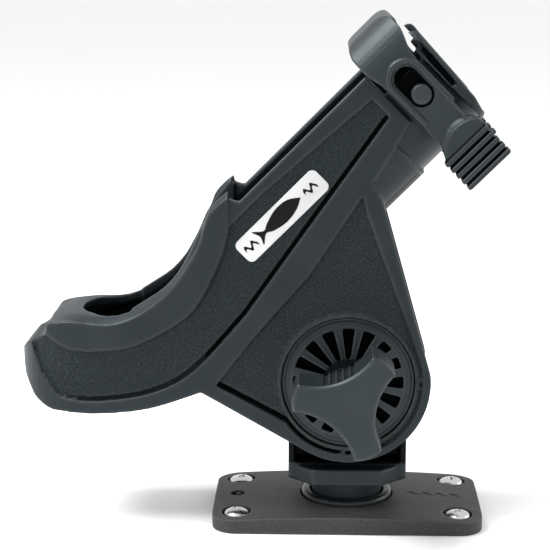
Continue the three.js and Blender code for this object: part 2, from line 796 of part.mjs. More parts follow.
const rodHolder = new THREE.Group();
rodHolder.add(mesh("base_plate", basePlate(), nylonBase));
screwPlaces.forEach(([x, y], i) => {
  rodHolder.add(mesh(`mounting_screw_${i + 1}`, mountingScrew(x, y), steel));
});
rodHolder.add(mesh("swivel_bush", swivelBush(), nylonGloss));
rodHolder.add(mesh("post_bracket", postBracket(), nylon));

const holder = new THREE.Group();
holder.position.z = PIVOT_HEIGHT;
for (const [name, shape] of Object.entries(dividedBody())) holder.add(mesh(name, shape, nylon));
holder.add(mesh("tilt_bolt", tiltBolt(), steel));
holder.add(mesh("bolt_washer", washer(SIDES.left), steel));
holder.add(mesh("knob_washer", washer(SIDES.right), nylonGloss));
holder.add(mesh("clamp_knob", clampKnob(), nylon));
holder.add(mesh("knob_insert", knobInsert(), brass));

const alongRod = new THREE.Group();
alongRod.rotation.y = -TILT;
alongRod.add(mesh("locking_ring", lockingRing(), nylon));
for (const [name, side] of Object.entries(SIDES)) {
  holder.add(mesh(`clamp_disc_${name}`, clampDisc(side), nylon));
  alongRod.add(mesh(`pivot_pin_${name}`, pivotPin(side), nylon));
  alongRod.add(mesh(`badge_${name}`, badge(side), foil));
}
holder.add(alongRod);
rodHolder.add(holder);

export default rodHolder;
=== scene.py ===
"""Studio scene of a tilting rod holder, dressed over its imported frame.

Lengths in the classes are in millimetres. Side outlines are drawn level, as (x, z) about the tilt
axis; outlines along the rod are (u, v), with u towards the rod's tip and v square to it.
"""
import json
import logging
import math
from dataclasses import dataclass, field
from enum import Enum
from typing import Callable, Iterable, Sequence

import bmesh
import bpy
from mathutils import Matrix, Vector


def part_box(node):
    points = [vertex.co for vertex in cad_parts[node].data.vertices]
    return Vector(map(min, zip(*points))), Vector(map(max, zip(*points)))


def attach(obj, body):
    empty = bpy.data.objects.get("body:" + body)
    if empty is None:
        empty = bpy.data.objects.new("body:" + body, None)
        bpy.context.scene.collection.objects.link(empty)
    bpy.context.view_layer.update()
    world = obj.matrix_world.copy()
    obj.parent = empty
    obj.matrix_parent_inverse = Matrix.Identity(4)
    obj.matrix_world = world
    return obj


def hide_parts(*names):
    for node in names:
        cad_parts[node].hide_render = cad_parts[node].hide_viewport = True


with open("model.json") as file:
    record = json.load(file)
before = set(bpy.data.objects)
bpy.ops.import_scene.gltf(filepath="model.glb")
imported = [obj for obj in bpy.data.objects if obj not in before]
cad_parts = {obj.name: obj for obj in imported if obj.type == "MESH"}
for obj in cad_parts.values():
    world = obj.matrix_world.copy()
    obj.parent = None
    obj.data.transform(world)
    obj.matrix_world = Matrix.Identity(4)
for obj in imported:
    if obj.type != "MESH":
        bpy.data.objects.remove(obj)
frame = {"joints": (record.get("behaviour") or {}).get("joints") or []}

LOG = logging.getLogger("rod_holder")
MM = 0.001

PIN_U = 101.0
PIN_V = 62.9
PIN_TRAVEL = 8.3
FAR = 60.0

Point = tuple[float, float]
Outline = list[Point]
Corner = tuple[float, float, float]


class Side(Enum):
    """Which side of the middle plane a piece stands on."""

    RIGHT = -1
    LEFT = 1


class Run(Enum):
    """The direction that an outline is pulled in to make a solid."""

    SIDEWAYS = "y"
    UPWARDS = "z"
    FORWARDS = "x"


# ---- outlines ------------------------------------------------------------------------------


def along(u: float, v: float) -> Point:
    """A point given along the rod, as a point of the level side plane."""
    return ((u - v) * math.sqrt(0.5), (u + v) * math.sqrt(0.5))


def arc(cx: float, cy: float, radius: float, start: float, end: float, steps: int) -> Outline:
    """Points along an arc.

    Args:
        cx: The centre's first coordinate.
        cy: The centre's second coordinate.
        radius: The arc's radius.
        start: Where it starts, in degrees.
        end: Where it ends, in degrees.
        steps: How many straight steps it takes.

    Returns:
        The arc's points, both ends included.
    """
    turns = [math.radians(start + (end - start) * i / steps) for i in range(steps + 1)]
    return [(cx + radius * math.cos(t), cy + radius * math.sin(t)) for t in turns]


def curve(points: Sequence[Point], steps: int = 8) -> Outline:
    """A smooth line through points, as short straight steps.

    Args:
        points: The points that the line passes through.
        steps: How many steps each span takes.

    Returns:
        The line's points, both ends included.
    """
    ends = [points[0], *points, points[-1]]
    line: Outline = []
    for a, b, c, d in zip(ends, ends[1:], ends[2:], ends[3:]):
        for i in range(steps):
            t = i / steps
            line.append(tuple(
                0.5 * (2 * q + (r - p) * t + (2 * p - 5 * q + 4 * r - s) * t * t
                       + (3 * q - p - 3 * r + s) * t ** 3)
                for p, q, r, s in zip(a, b, c, d)
            ))
    line.append(tuple(points[-1]))
    return line


def rounded_box(width: float, height: float, radius: float, cx: float = 0.0, cy: float = 0.0,
                steps: int = 8) -> Outline:
    """A rectangle with round corners.

    Args:
        width: Its size along the first axis.
        height: Its size along the second axis.
        radius: The corners' radius.
        cx: The middle's first coordinate.
        cy: The middle's second coordinate.
        steps: Steps in each corner.

    Returns:
        The outline, counter-clockwise.
    """
    w, h = width / 2 - radius, height / 2 - radius
    corners = ((w, -h, -90), (w, h, 0), (-w, h, 90), (-w, -h, 180))
    return [p for x, y, a in corners for p in arc(cx + x, cy + y, radius, a, a + 90, steps)]


def inside(point: Point, outline: Outline) -> bool:
    """Whether a point lies inside a closed outline."""
    x, y = point
    crossings = False
    for (ax, ay), (bx, by) in zip(outline, outline[1:] + outline[:1]):
        if (ay > y) != (by > y) and x < (bx - ax) * (y - ay) / (by - ay) + ax:
            crossings = not crossings
    return crossings


# ---- solids --------------------------------------------------------------------------------


def from_bmesh(bm: bmesh.types.BMesh) -> bpy.types.Object:
    """Turns a finished bmesh into an object in the scene, with its faces pointing out."""
    bmesh.ops.recalc_face_normals(bm, faces=bm.faces)
    mesh = bpy.data.meshes.new("solid")
    bm.to_mesh(mesh)
    bm.free()
    piece = bpy.data.objects.new("solid", mesh)
    bpy.context.scene.collection.objects.link(piece)
    return piece


def loft(rings: Sequence[Sequence[Corner]]) -> bpy.types.Object:
    """A closed solid through rings of equal length, capped at both ends."""
    bm = bmesh.new()
    loops = [[bm.verts.new(corner) for corner in ring] for ring in rings]
    count = len(loops[0])
    for low, high in zip(loops, loops[1:]):
        for i in range(count):
            j = (i + 1) % count
            bm.faces.new((low[i], low[j], high[j], high[i]))
    bm.faces.new(loops[0])
    bm.faces.new(loops[-1])
    return from_bmesh(bm)


def placed(point: Point, run: Run, depth: float) -> Corner:
    """A point of an outline, at a depth along the outline's run."""
    a, b = point
    if run is Run.SIDEWAYS:
        return (a, depth, b)
    if run is Run.UPWARDS:
        return (a, b, depth)
    return (depth, a, b)


def prism(outline: Outline, run: Run, low: float, high: float) -> bpy.types.Object:
    """A straight solid with an outline as its section.

    Args:
        outline: Its section: (x, z) sideways, (x, y) upwards or (y, z) forwards.
        run: The direction that it is pulled in.
        low: Where it starts.
        high: Where it ends.

    Returns:
        The solid.
    """
    return loft([[placed(p, run, depth) for p in outline] for depth in (low, high)])


def on_side(outline: Outline, side: Side, near: float, far: float) -> bpy.types.Object:
    """A sideways prism between two distances from the middle plane."""
    low, high = sorted((side.value * near, side.value * far))
    return prism(outline, Run.SIDEWAYS, low, high)


def turned(profile: Sequence[Point], run: Run, segments: int = 72, cx: float = 0.0,
           cy: float = 0.0) -> bpy.types.Object:
    """A solid turned about an axis.

    Args:
        profile: (radius, height) pairs from the foot to the top.
        run: The direction of the axis.
        segments: Flats round the axis.
        cx: The axis's first coordinate, in the order that its outlines use.
        cy: The axis's second coordinate.

    Returns:
        The solid, closed across both ends.
    """
    rings = []
    for radius, height in profile:
        circle = arc(cx, cy, max(radius, 0.02), 0, 360, segments)[:-1]
        rings.append([placed(p, run, height) for p in circle])
    return loft(rings)


def rod(radius: float, run: Run, low: float, high: float, cx: float = 0.0, cy: float = 0.0,
        segments: int = 72) -> bpy.types.Object:
    """A plain cylinder."""
    return turned([(radius, low), (radius, high)], run, segments, cx, cy)


def sloped(piece: bpy.types.Object) -> bpy.types.Object:
    """Turns a solid drawn along the rod to the stored slope."""
    piece.data.transform(Matrix.Rotation(-math.pi / 4, 4, "Y"))
    return piece


def moved(piece: bpy.types.Object, x: float = 0.0, y: float = 0.0, z: float = 0.0) -> bpy.types.Object:
    """Shifts a solid's mesh."""
    piece.data.transform(Matrix.Translation((x, y, z)))
    return piece


def settle(piece: bpy.types.Object) -> None:
    """Applies a piece's modifiers to its mesh."""
    graph = bpy.context.evaluated_depsgraph_get()
    graph.update()
    mesh = bpy.data.meshes.new_from_object(piece.evaluated_get(graph))
    piece.modifiers.clear()
    old = piece.data
    piece.data = mesh
    bpy.data.meshes.remove(old)


def discard(piece: bpy.types.Object) -> None:
    """Removes a working solid."""
    mesh = piece.data
    bpy.data.objects.remove(piece)
    bpy.data.meshes.remove(mesh)


class Mould:
    """A piece that is joined and cut from plain solids, then rounded as a moulding is."""

    def __init__(self, first: bpy.types.Object) -> None:
        """Starts from one solid."""
        self.piece = first

    def _combine(self, operation: str, solids: Iterable[bpy.types.Object]) -> "Mould":
        """Joins, cuts or intersects with each solid in turn."""
        for tool in solids:
            step = self.piece.modifiers.new("cut", "BOOLEAN")
            step.operation = operation
            step.solver = "MANIFOLD"
            step.object = tool
            settle(self.piece)
            discard(tool)
        return self

    def add(self, *solids: bpy.types.Object) -> "Mould":
        """Joins solids on."""
        return self._combine("UNION", solids)

    def cut(self, *solids: bpy.types.Object) -> "Mould":
        """Cuts solids away."""
        return self._combine("DIFFERENCE", solids)

    def keep(self, *solids: bpy.types.Object) -> "Mould":
        """Keeps only what lies inside each solid."""
        return self._combine("INTERSECT", solids)

    def round_off(self, voxel: float, passes: int) -> bpy.types.Object:
        """Rounds every edge slightly.

        Args:
            voxel: The size of the surface's cells.
            passes: How many times the surface is relaxed.

        Returns:
            The rounded piece.
        """
        remesh = self.piece.modifiers.new("cells", "REMESH")
        remesh.mode = "VOXEL"
        remesh.voxel_size = voxel
        relax = self.piece.modifiers.new("relax", "SMOOTH")
        relax.factor = 0.5
        relax.iterations = passes
        settle(self.piece)
        return self.piece

    def crisp(self, width: float, segments: int, angle: float) -> bpy.types.Object:
        """Bevels the sharp edges and leaves the faces as they are.

        Args:
            width: The bevels' width.
            segments: How many steps each bevel takes.
            angle: The angle past which an edge is sharp, in degrees.

        Returns:
            The bevelled piece.
        """
        bevel = self.piece.modifiers.new("bevel", "BEVEL")
        bevel.width = width
        bevel.segments = segments
        bevel.limit_method = "ANGLE"
        bevel.angle_limit = math.radians(angle)
        bevel.use_clamp_overlap = True
        settle(self.piece)
        return self.piece


# ---- finishes ------------------------------------------------------------------------------


Feed = bpy.types.NodeSocket | Corner | float


class Nodes:
    """A short way to write a material's node tree."""

    def __init__(self, name: str) -> None:
        """Starts an empty material with a principled shader."""
        self.material = bpy.data.materials.new(name)
        self.material.use_nodes = True
        self.tree = self.material.node_tree
        self.shader = next(n for n in self.tree.nodes if n.type == "BSDF_PRINCIPLED")
        self.place = self.tree.nodes.new("ShaderNodeTexCoord").outputs["Object"]

    def link(self, source: bpy.types.NodeSocket, target: bpy.types.NodeSocket) -> None:
        """Joins two sockets."""
        self.tree.links.new(source, target)

    def noise(self, scale: float, detail: float = 2.0, rough: float = 0.5,
              stretch: Corner = (1.0, 1.0, 1.0)) -> bpy.types.NodeSocket:
        """A noise pattern, with scale in cells for each metre."""
        place = self.tree.nodes.new("ShaderNodeMapping")
        place.inputs["Scale"].default_value = stretch
        self.link(self.place, place.inputs["Vector"])
        node = self.tree.nodes.new("ShaderNodeTexNoise")
        node.inputs["Scale"].default_value = scale
        node.inputs["Detail"].default_value = detail
        node.inputs["Roughness"].default_value = rough
        self.link(place.outputs["Vector"], node.inputs["Vector"])
        return node.outputs["Fac"]

    def spread(self, source: bpy.types.NodeSocket, low: float, high: float, start: float = 0.0,
               end: float = 1.0) -> bpy.types.NodeSocket:
        """Maps a value's range from start and end to low and high."""
        node = self.tree.nodes.new("ShaderNodeMapRange")
        self.link(source, node.inputs["Value"])
        for socket, value in (("From Min", start), ("From Max", end), ("To Min", low), ("To Max", high)):
            node.inputs[socket].default_value = value
        return node.outputs["Result"]

    def feed(self, socket: bpy.types.NodeSocket, value: Feed) -> None:
        """Links another node's output to a socket, or sets the socket's fixed value."""
        if isinstance(value, bpy.types.NodeSocket):
            self.link(value, socket)
        else:
            socket.default_value = (*value, 1.0) if isinstance(value, tuple) else value

    def maths(self, operation: str, a: Feed, b: Feed) -> bpy.types.NodeSocket:
        """One sum on two values."""
        node = self.tree.nodes.new("ShaderNodeMath")
        node.operation = operation
        for socket, value in zip(node.inputs, (a, b)):
            self.feed(socket, value)
        return node.outputs[0]

    def blend(self, amount: Feed, first: Feed, second: Feed, mode: str = "MIX") -> bpy.types.NodeSocket:
        """A colour made from two, by an amount."""
        node = self.tree.nodes.new("ShaderNodeMix")
        node.data_type = "RGBA"
        node.blend_type = mode
        colours = [s for s in node.inputs if s.type == "RGBA"]
        for socket, value in zip((node.inputs["Factor"], *colours), (amount, first, second)):
            self.feed(socket, value)
        return next(s for s in node.outputs if s.type == "RGBA")

    def attribute(self, name: str) -> bpy.types.NodeSocket:
        """A value painted on the mesh's corners."""
        node = self.tree.nodes.new("ShaderNodeAttribute")
        node.attribute_name = name
        return node.outputs["Fac"]

    def edges(self, low: float, high: float) -> bpy.types.NodeSocket:
        """How far a spot stands out, from 0 at the low pointiness to 1 at the high one."""
        node = self.tree.nodes.new("ShaderNodeNewGeometry")
        return self.spread(node.outputs["Pointiness"], 0.0, 1.0, low, high)

    def shade(self, amount: bpy.types.NodeSocket, colour: bpy.types.NodeSocket) -> bpy.types.NodeSocket:
        """A colour made darker where an amount is low."""
        node = self.tree.nodes.new("ShaderNodeVectorMath")
        node.operation = "SCALE"
        self.link(colour, node.inputs[0])
        self.link(amount, node.inputs["Scale"])
        return node.outputs[0]

    def bump(self, height: bpy.types.NodeSocket, distance: float) -> None:
        """Raises the surface by a height pattern, distance in millimetres."""
        node = self.tree.nodes.new("ShaderNodeBump")
        node.inputs["Distance"].default_value = distance * MM
        self.link(height, node.inputs["Height"])
        self.link(node.outputs["Normal"], self.shader.inputs["Normal"])

    def set(self, **values: float) -> None:
        """Sets the shader's own sockets, with underscores for spaces in their names."""
        for name, value in values.items():
            self.shader.inputs[name.replace("_", " ")].default_value = value


@dataclass(frozen=True)
class MouldedNylon:
    """Glass-filled nylon: satin where smooth, sandy where its mesh is painted with grain; convex edges carry
    a painted highlight, and creases and spots painted with gloom carry painted shade.
    """

    name: str = "moulded_nylon"
    dark: Corner = (0.0060, 0.0090, 0.0115)
    light: Corner = (0.0105, 0.0140, 0.0165)
    grain_dark: Corner = (0.0010, 0.0030, 0.0035)
    grain_light: Corner = (0.0300, 0.0390, 0.0380)
    roughness: float = 0.46
    grain_roughness: float = 0.55
    specular: float = 0.42
    tint: Corner = (0.84, 0.96, 1.0)
    grain_scale: float = 1700.0
    grain_depth: float = 0.30
    # How much painted highlight is added along convex edges.
    edge_highlight_amount: float = 0.022

    def build(self) -> bpy.types.Material:
        """Makes the material."""
        n = Nodes(self.name)
        grain = n.attribute("grain")
        cloud = n.noise(45.0, 3.0, 0.55)
        sand = n.noise(self.grain_scale, 3.0, 0.65)
        fine = n.noise(5200.0, 2.0, 0.5)
        smooth = n.blend(n.spread(cloud, 0.0, 1.0, 0.3, 0.7), self.dark, self.light)
        rough = n.blend(n.spread(sand, 0.0, 1.0, 0.47, 0.72), self.grain_dark, self.grain_light)
        body = n.blend(grain, smooth, rough)
        # Painted highlight: a little white is added to the colour along convex edges (high pointiness).
        painted_edge_highlight = n.blend(n.edges(0.5, 0.56), (0.0, 0.0, 0.0), (1.0, 1.0, 1.0))
        lifted = n.blend(self.edge_highlight_amount, body, painted_edge_highlight, "ADD")
        # Painted shade: colour and specular level drop in concave creases (low pointiness) and wherever the
        # mesh's gloom attribute is painted.
        unshaded = n.maths("MULTIPLY", n.edges(0.40, 0.485), n.spread(n.attribute("gloom"), 1.0, 0.0))
        n.link(n.shade(n.spread(unshaded, 0.10, 1.0), lifted), n.shader.inputs["Base Color"])
        n.link(n.spread(unshaded, 0.03, self.specular), n.shader.inputs["Specular IOR Level"])
        n.shader.inputs["Specular Tint"].default_value = (*self.tint, 1.0)
        uneven = n.spread(n.noise(140.0, 2.0), -0.05, 0.05)
        base = n.spread(grain, self.roughness, self.grain_roughness)
        n.link(n.maths("ADD", base, uneven), n.shader.inputs["Roughness"])
        sandy = n.maths("MULTIPLY", sand, grain)
        skin = n.maths("MULTIPLY", fine, 0.05)
        n.bump(n.maths("ADD", sandy, skin), self.grain_depth)
        return n.material


@dataclass(frozen=True)
class TurnedSteel:
    """Stainless steel with fine scratches."""

    name: str = "stainless_steel"
    dark: Corner = (0.46, 0.46, 0.46)
    light: Corner = (0.72, 0.71, 0.70)
    roughness: float = 0.24

    def build(self) -> bpy.types.Material:
        """Makes the material."""
        n = Nodes(self.name)
        smears = n.noise(260.0, 4.0, 0.6)
        scratches = n.noise(900.0, 3.0, 0.6, (1.0, 9.0, 1.0))
        n.link(n.blend(smears, self.dark, self.light), n.shader.inputs["Base Color"])
        n.link(n.spread(scratches, self.roughness - 0.08, self.roughness + 0.12),
               n.shader.inputs["Roughness"])
        n.bump(scratches, 0.01)
        n.set(Metallic=1.0)
        return n.material


@dataclass(frozen=True)
class BrassTurning:
    """The knob's turned brass insert."""

    name: str = "turned_brass"
    dark: Corner = (0.42, 0.27, 0.09)
    light: Corner = (0.66, 0.47, 0.20)

    def build(self) -> bpy.types.Material:
        """Makes the material."""
        n = Nodes(self.name)
        rings = n.noise(1400.0, 2.0, 0.5, (0.2, 1.0, 0.2))
        n.link(n.blend(n.noise(200.0), self.dark, self.light), n.shader.inputs["Base Color"])
        n.link(n.spread(rings, 0.22, 0.38), n.shader.inputs["Roughness"])
        n.bump(rings, 0.015)
        n.set(Metallic=1.0)
        return n.material


@dataclass(frozen=True)
class BrightFoil:
    """The badge's bright foil with a slight orange-peel."""

    name: str = "bright_foil"
    dark: Corner = (0.50, 0.50, 0.51)
    light: Corner = (0.68, 0.68, 0.69)

    def build(self) -> bpy.types.Material:
        """Makes the material."""
        n = Nodes(self.name)
        n.link(n.blend(n.noise(90.0, 3.0), self.dark, self.light), n.shader.inputs["Base Color"])
        n.link(n.spread(n.noise(700.0, 2.0), 0.28, 0.42), n.shader.inputs["Roughness"])
        n.bump(n.noise(1100.0, 2.0), 0.01)
        n.set(Metallic=0.35)
        return n.material


@dataclass(frozen=True)
class BadgeInk:
    """The dark print on the badge."""

    name: str = "badge_ink"

    def build(self) -> bpy.types.Material:
        """Makes the material."""
        n = Nodes(self.name)
        n.link(n.blend(n.noise(300.0, 3.0), (0.002, 0.002, 0.0025), (0.006, 0.006, 0.007)),
               n.shader.inputs["Base Color"])
        n.link(n.spread(n.noise(900.0), 0.35, 0.5), n.shader.inputs["Roughness"])
        n.set(Specular_IOR_Level=0.12)
        return n.material


@dataclass(frozen=True)
class StudioFloor:
    """The pale floor's paper."""

    name: str = "studio_floor"

    def build(self) -> bpy.types.Material:
        """Makes the material."""
        n = Nodes(self.name)
        n.link(n.blend(n.noise(6.0), (0.90, 0.90, 0.90), (0.92, 0.92, 0.92)),
               n.shader.inputs["Base Color"])
        n.set(Roughness=0.8)
        return n.material


class Finishes:
    """Every finish of the object, each built once."""

    def __init__(self) -> None:
        """Builds the materials."""
        self.nylon = MouldedNylon().build()
        self.shell = MouldedNylon("shell_nylon", specular=0.27, roughness=0.42).build()
        self.base = MouldedNylon(
            "base_nylon", dark=(0.022, 0.022, 0.021), light=(0.030, 0.030, 0.028),
            grain_dark=(0.017, 0.018, 0.017), grain_light=(0.050, 0.050, 0.047), roughness=0.50,
            grain_roughness=0.56, grain_depth=0.12, tint=(1.0, 1.0, 1.0),
        ).build()
        self.gloss = MouldedNylon(
            "polished_nylon", dark=(0.004, 0.005, 0.006), light=(0.007, 0.008, 0.009), roughness=0.22,
            specular=0.3,
        ).build()
        self.steel = TurnedSteel().build()
        self.brass = BrassTurning().build()
        self.foil = BrightFoil().build()
        self.ink = BadgeInk().build()


def smooth_all_over(spot: Vector) -> float:
    """No grain and no shade, wherever a point lies."""
    return 0.0


def paint(piece: bpy.types.Object, grainy: Callable[[Vector], float] = smooth_all_over,
          gloomy: Callable[[Vector], float] = smooth_all_over) -> None:
    """Paints where a piece's moulded surface is sandy, and how much painted shade darkens it.

    Args:
        piece: The piece, with its mesh in millimetres.
        grainy: Gives the amount of grain at a point, from 0 to 1.
        gloomy: Gives how much painted shade darkens a point, from 0 to 1.
    """
    for name, amount in (("grain", grainy), ("gloom", gloomy)):
        layer = piece.data.attributes.new(name, "FLOAT", "POINT")
        layer.data.foreach_set("value", [amount(v.co) for v in piece.data.vertices])


def dress(piece: bpy.types.Object, name: str, material: bpy.types.Material, body: str, slot: str,
          *nodes: str) -> bpy.types.Object:
    """Names a finished piece, scales it to metres and ties it to its body.

    Args:
        piece: The piece, with its mesh in millimetres.
        name: Its name.
        material: Its finish.
        body: The body that it rides on.
        slot: The record's material slot; not used.
        nodes: The CAD nodes that it stands for.

    Returns:
        The piece.
    """
    piece.name = name
    piece.data.name = name
    piece.data.transform(Matrix.Scale(MM, 4))
    piece.data.materials.clear()
    piece.data.materials.append(material)
    piece.data.polygons.foreach_set("use_smooth", [True] * len(piece.data.polygons))
    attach(piece, body)
    if nodes:
        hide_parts(*nodes)
    LOG.info("%s: %d faces on %s", name, len(piece.data.polygons), body)
    return piece


def sharp_shade(piece: bpy.types.Object, angle: float) -> None:
    """Keeps faces that meet at more than an angle, in degrees, apart in the shading."""
    bm = bmesh.new()
    bm.from_mesh(piece.data)
    for edge in bm.edges:
        edge.smooth = edge.calc_face_angle(0.0) < math.radians(angle)
    bm.to_mesh(piece.data)
    bm.free()


# ---- sub-assemblies ------------------------------------------------------------------------


@dataclass
class BaseMount:
    """The screwed-down base plate with its socket bush and four screws."""

    finishes: Finishes
    length: float = 110.0
    width: float = 61.0
    corner: float = 9.9
    crown: float = 8.1
    end_fall: float = 2.0
    side_fall: float = 1.1
    level_foot: float = 3.0
    screw_x: float = 45.0
    screw_y: float = 20.5
    recess: float = 6.4
    recess_floor: float = 2.9
    screw_head: float = 5.15
    socket: float = 19.1
    socket_floor: float = 2.0

    @property
    def screw_places(self) -> Outline:
        """The middles of the four screw wells."""
        return [(x, y) for x in (-self.screw_x, self.screw_x) for y in (-self.screw_y, self.screw_y)]

    def plate(self) -> bpy.types.Object:
        """The crowned plate with its screw wells."""
        above = 20.0
        mould = Mould(prism(rounded_box(self.length, self.width, self.corner), Run.UPWARDS, 0, self.crown))
        mould.cut(rod(self.socket, Run.UPWARDS, self.socket_floor, above))
        well = [(2.8, -2), (2.8, self.recess_floor), (self.recess - 0.5, self.recess_floor),
                (self.recess, above)]
        for x, y in self.screw_places:
            mould.cut(turned(well, Run.UPWARDS, 48, x, y))
        gate = -self.screw_x - 0.5
        mould.cut(turned([(2.9, 5.6), (3.1, above)], Run.UPWARDS, 32, gate, 0))
        mould.add(turned([(1.3, 4), (1.2, 7.6), (0.7, 8.0)], Run.UPWARDS, 24, gate + 0.3, 0))
        piece = mould.round_off(0.42, 3)
        self.crown_over(piece)

        def grainy(spot: Vector) -> float:
            """Sandy all over but for the wells and the underside."""
            if any(math.hypot(spot.x - x, spot.y - y) < self.recess + 0.4 for x, y in self.screw_places):
                return 0.0
            return 1.0 if spot.z > 0.5 else 0.0

        paint(piece, grainy)
        return dress(piece, "base_moulding", self.finishes.base, "base", "nylon_base", "base_plate")

    def crown_over(self, piece: bpy.types.Object) -> None:
        """Lets the plate's top fall away towards its ends and sides."""
        for vertex in piece.data.vertices:
            spot = vertex.co
            share = (spot.z - self.level_foot) / (self.crown - self.level_foot)
            if share > 0:
                ends = self.end_fall * (2 * spot.x / self.length) ** 2
                sides = self.side_fall * (2 * spot.y / self.width) ** 2
                spot.z -= (ends + sides) * share

    def wave_mark(self) -> bpy.types.Object:
        """A small raised wave on the plate, as a maker's plain ornament."""
        half = 0.42
        rings = []
        for i in range(47):
            x, y = 25.0 + i * 0.5, math.sin(i * 0.55) * 1.1
            high = self.crown - self.end_fall * (2 * x / self.length) ** 2
            foot, ridge = high - 0.6, high + 0.28
            rings.append([(x, y - half, foot), (x, y + half, foot), (x, y + half * 0.5, ridge),
                          (x, y - half * 0.5, ridge)])
        return dress(loft(rings), "wave_mark", self.finishes.base, "base", "nylon_base")

    def screw(self, number: int, turn: float) -> bpy.types.Object:
        """One pan-head screw with a cross recess.

        Args:
            number: Its number, from 1.
            turn: How far it is turned, in degrees.

        Returns:
            The screw.
        """
        low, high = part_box(f"mounting_screw_{number}")
        middle = (low + high) / 2 / MM
        floor, seat, top = self.recess_floor, self.recess_floor + 1.5, high.z / MM + 0.9
        head, shoulder = self.screw_head, self.recess_floor + 2.1
        dome = [(head * math.cos(a), shoulder + (top - shoulder) * math.sin(a))
                for a in (math.radians(d) for d in range(12, 91, 6))]
        mould = Mould(turned([
            (2.4, low.z / MM), (2.4, floor + 0.2), (4.4, floor + 0.3), (4.4, seat - 0.01), (head, seat),
            (head, shoulder), *dome,
        ], Run.UPWARDS, 56))
        for quarter in (0, 90):
            slot = loft([
                [(-r, -w, z), (r, -w, z), (r, w, z), (-r, w, z)]
                for r, w, z in ((1.2, 0.35, top - 2.2), (2.6, 0.62, top + 0.6))
            ])
            slot.data.transform(Matrix.Rotation(math.radians(quarter + turn), 4, "Z"))
            mould.cut(slot)
        mould.cut(turned([(0.5, top - 2.4), (1.3, top + 0.6)], Run.UPWARDS, 24))
        piece = mould.crisp(0.09, 2, 40)
        moved(piece, middle.x, middle.y)
        sharp_shade(piece, 40)
        return dress(piece, f"pan_head_screw_{number}", self.finishes.steel, "base", "steel",
                     f"mounting_screw_{number}")

    def bush(self) -> bpy.types.Object:
        """The polished bush round the post's foot."""
        low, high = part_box("swivel_bush")
        outer, foot, top = high.x / MM, low.z / MM, high.z / MM
        inner, curl = 14.95, 1.5
        mould = Mould(turned([(outer, foot), *arc(outer - curl, top - curl, curl, 0, 90, 6)],
                             Run.UPWARDS, 96))
        mould.cut(turned([(inner, foot - 1), (inner, top - 1.2), (inner + 1.4, top + 1)], Run.UPWARDS, 96))
        piece = mould.crisp(0.25, 3, 25)
        sharp_shade(piece, 40)
        return dress(piece, "socket_bush", self.finishes.gloss, "swivel", "nylon_gloss", "swivel_bush")

    def build(self) -> None:
        """Builds the whole mount."""
        self.plate()
        self.wave_mark()
        for number, turn in enumerate((20, -35, 55, 10), start=1):
            self.screw(number, turn)
        self.bush()


@dataclass
class PostBracket:
    """The round post with its flange and the upright that the holder tilts on."""

    finishes: Finishes
    pivot: float
    half_x: float = 24.0
    half_y: float = 22.0
    chamfer: float = 10.0
    flange_low: float = 17.6
    flange_high: float = 24.3
    tongue: float = 15.0

    def build(self) -> bpy.types.Object:
        """Builds the bracket."""
        low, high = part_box("post_bracket")
        foot = low.z / MM
        post = [(13.6, foot), (14.6, foot + 1), (14.6, self.flange_low + 1)]
        mould = Mould(turned(post, Run.UPWARDS, 96))
        x, y, c = self.half_x, self.half_y, self.chamfer
        plan = [(-x + c, -y), (x - c, -y), (x, -y + c), (x, y - c), (x - c, y), (-x + c, y), (-x, y - c),
                (-x, -y + c)]
        upright = [(-x, self.flange_low + 1), (x, self.flange_low + 1), (x, self.pivot), (-x, self.pivot)]
        mould.add(
            prism(plan, Run.UPWARDS, self.flange_low, self.flange_high),
            prism(upright, Run.SIDEWAYS, -self.tongue, self.tongue),
            rod(26.0, Run.SIDEWAYS, -self.tongue, self.tongue, 0, self.pivot),
            rod(23.5, Run.SIDEWAYS, -16.4, 16.4, 0, self.pivot),
        )
        mould.cut(rod(5.0, Run.SIDEWAYS, -30, 30, 0, self.pivot, 48))
        for side in Side:
            pocket = [(-21.6, 25.6), (21.6, 25.6), (21.6, 37.5), (-21.6, 37.5)]
            mould.cut(on_side(pocket, side, 6, self.tongue + 3))
        piece = mould.round_off(0.6, 3)
        # Painted shade on the upright above the flange, where it sits under the body's overhang.
        paint(piece, gloomy=lambda spot: 0.85 if spot.z > self.flange_high + 0.7 else 0.0)
        return dress(piece, "bracket_moulding", self.finishes.shell, "bracket", "nylon", "post_bracket")


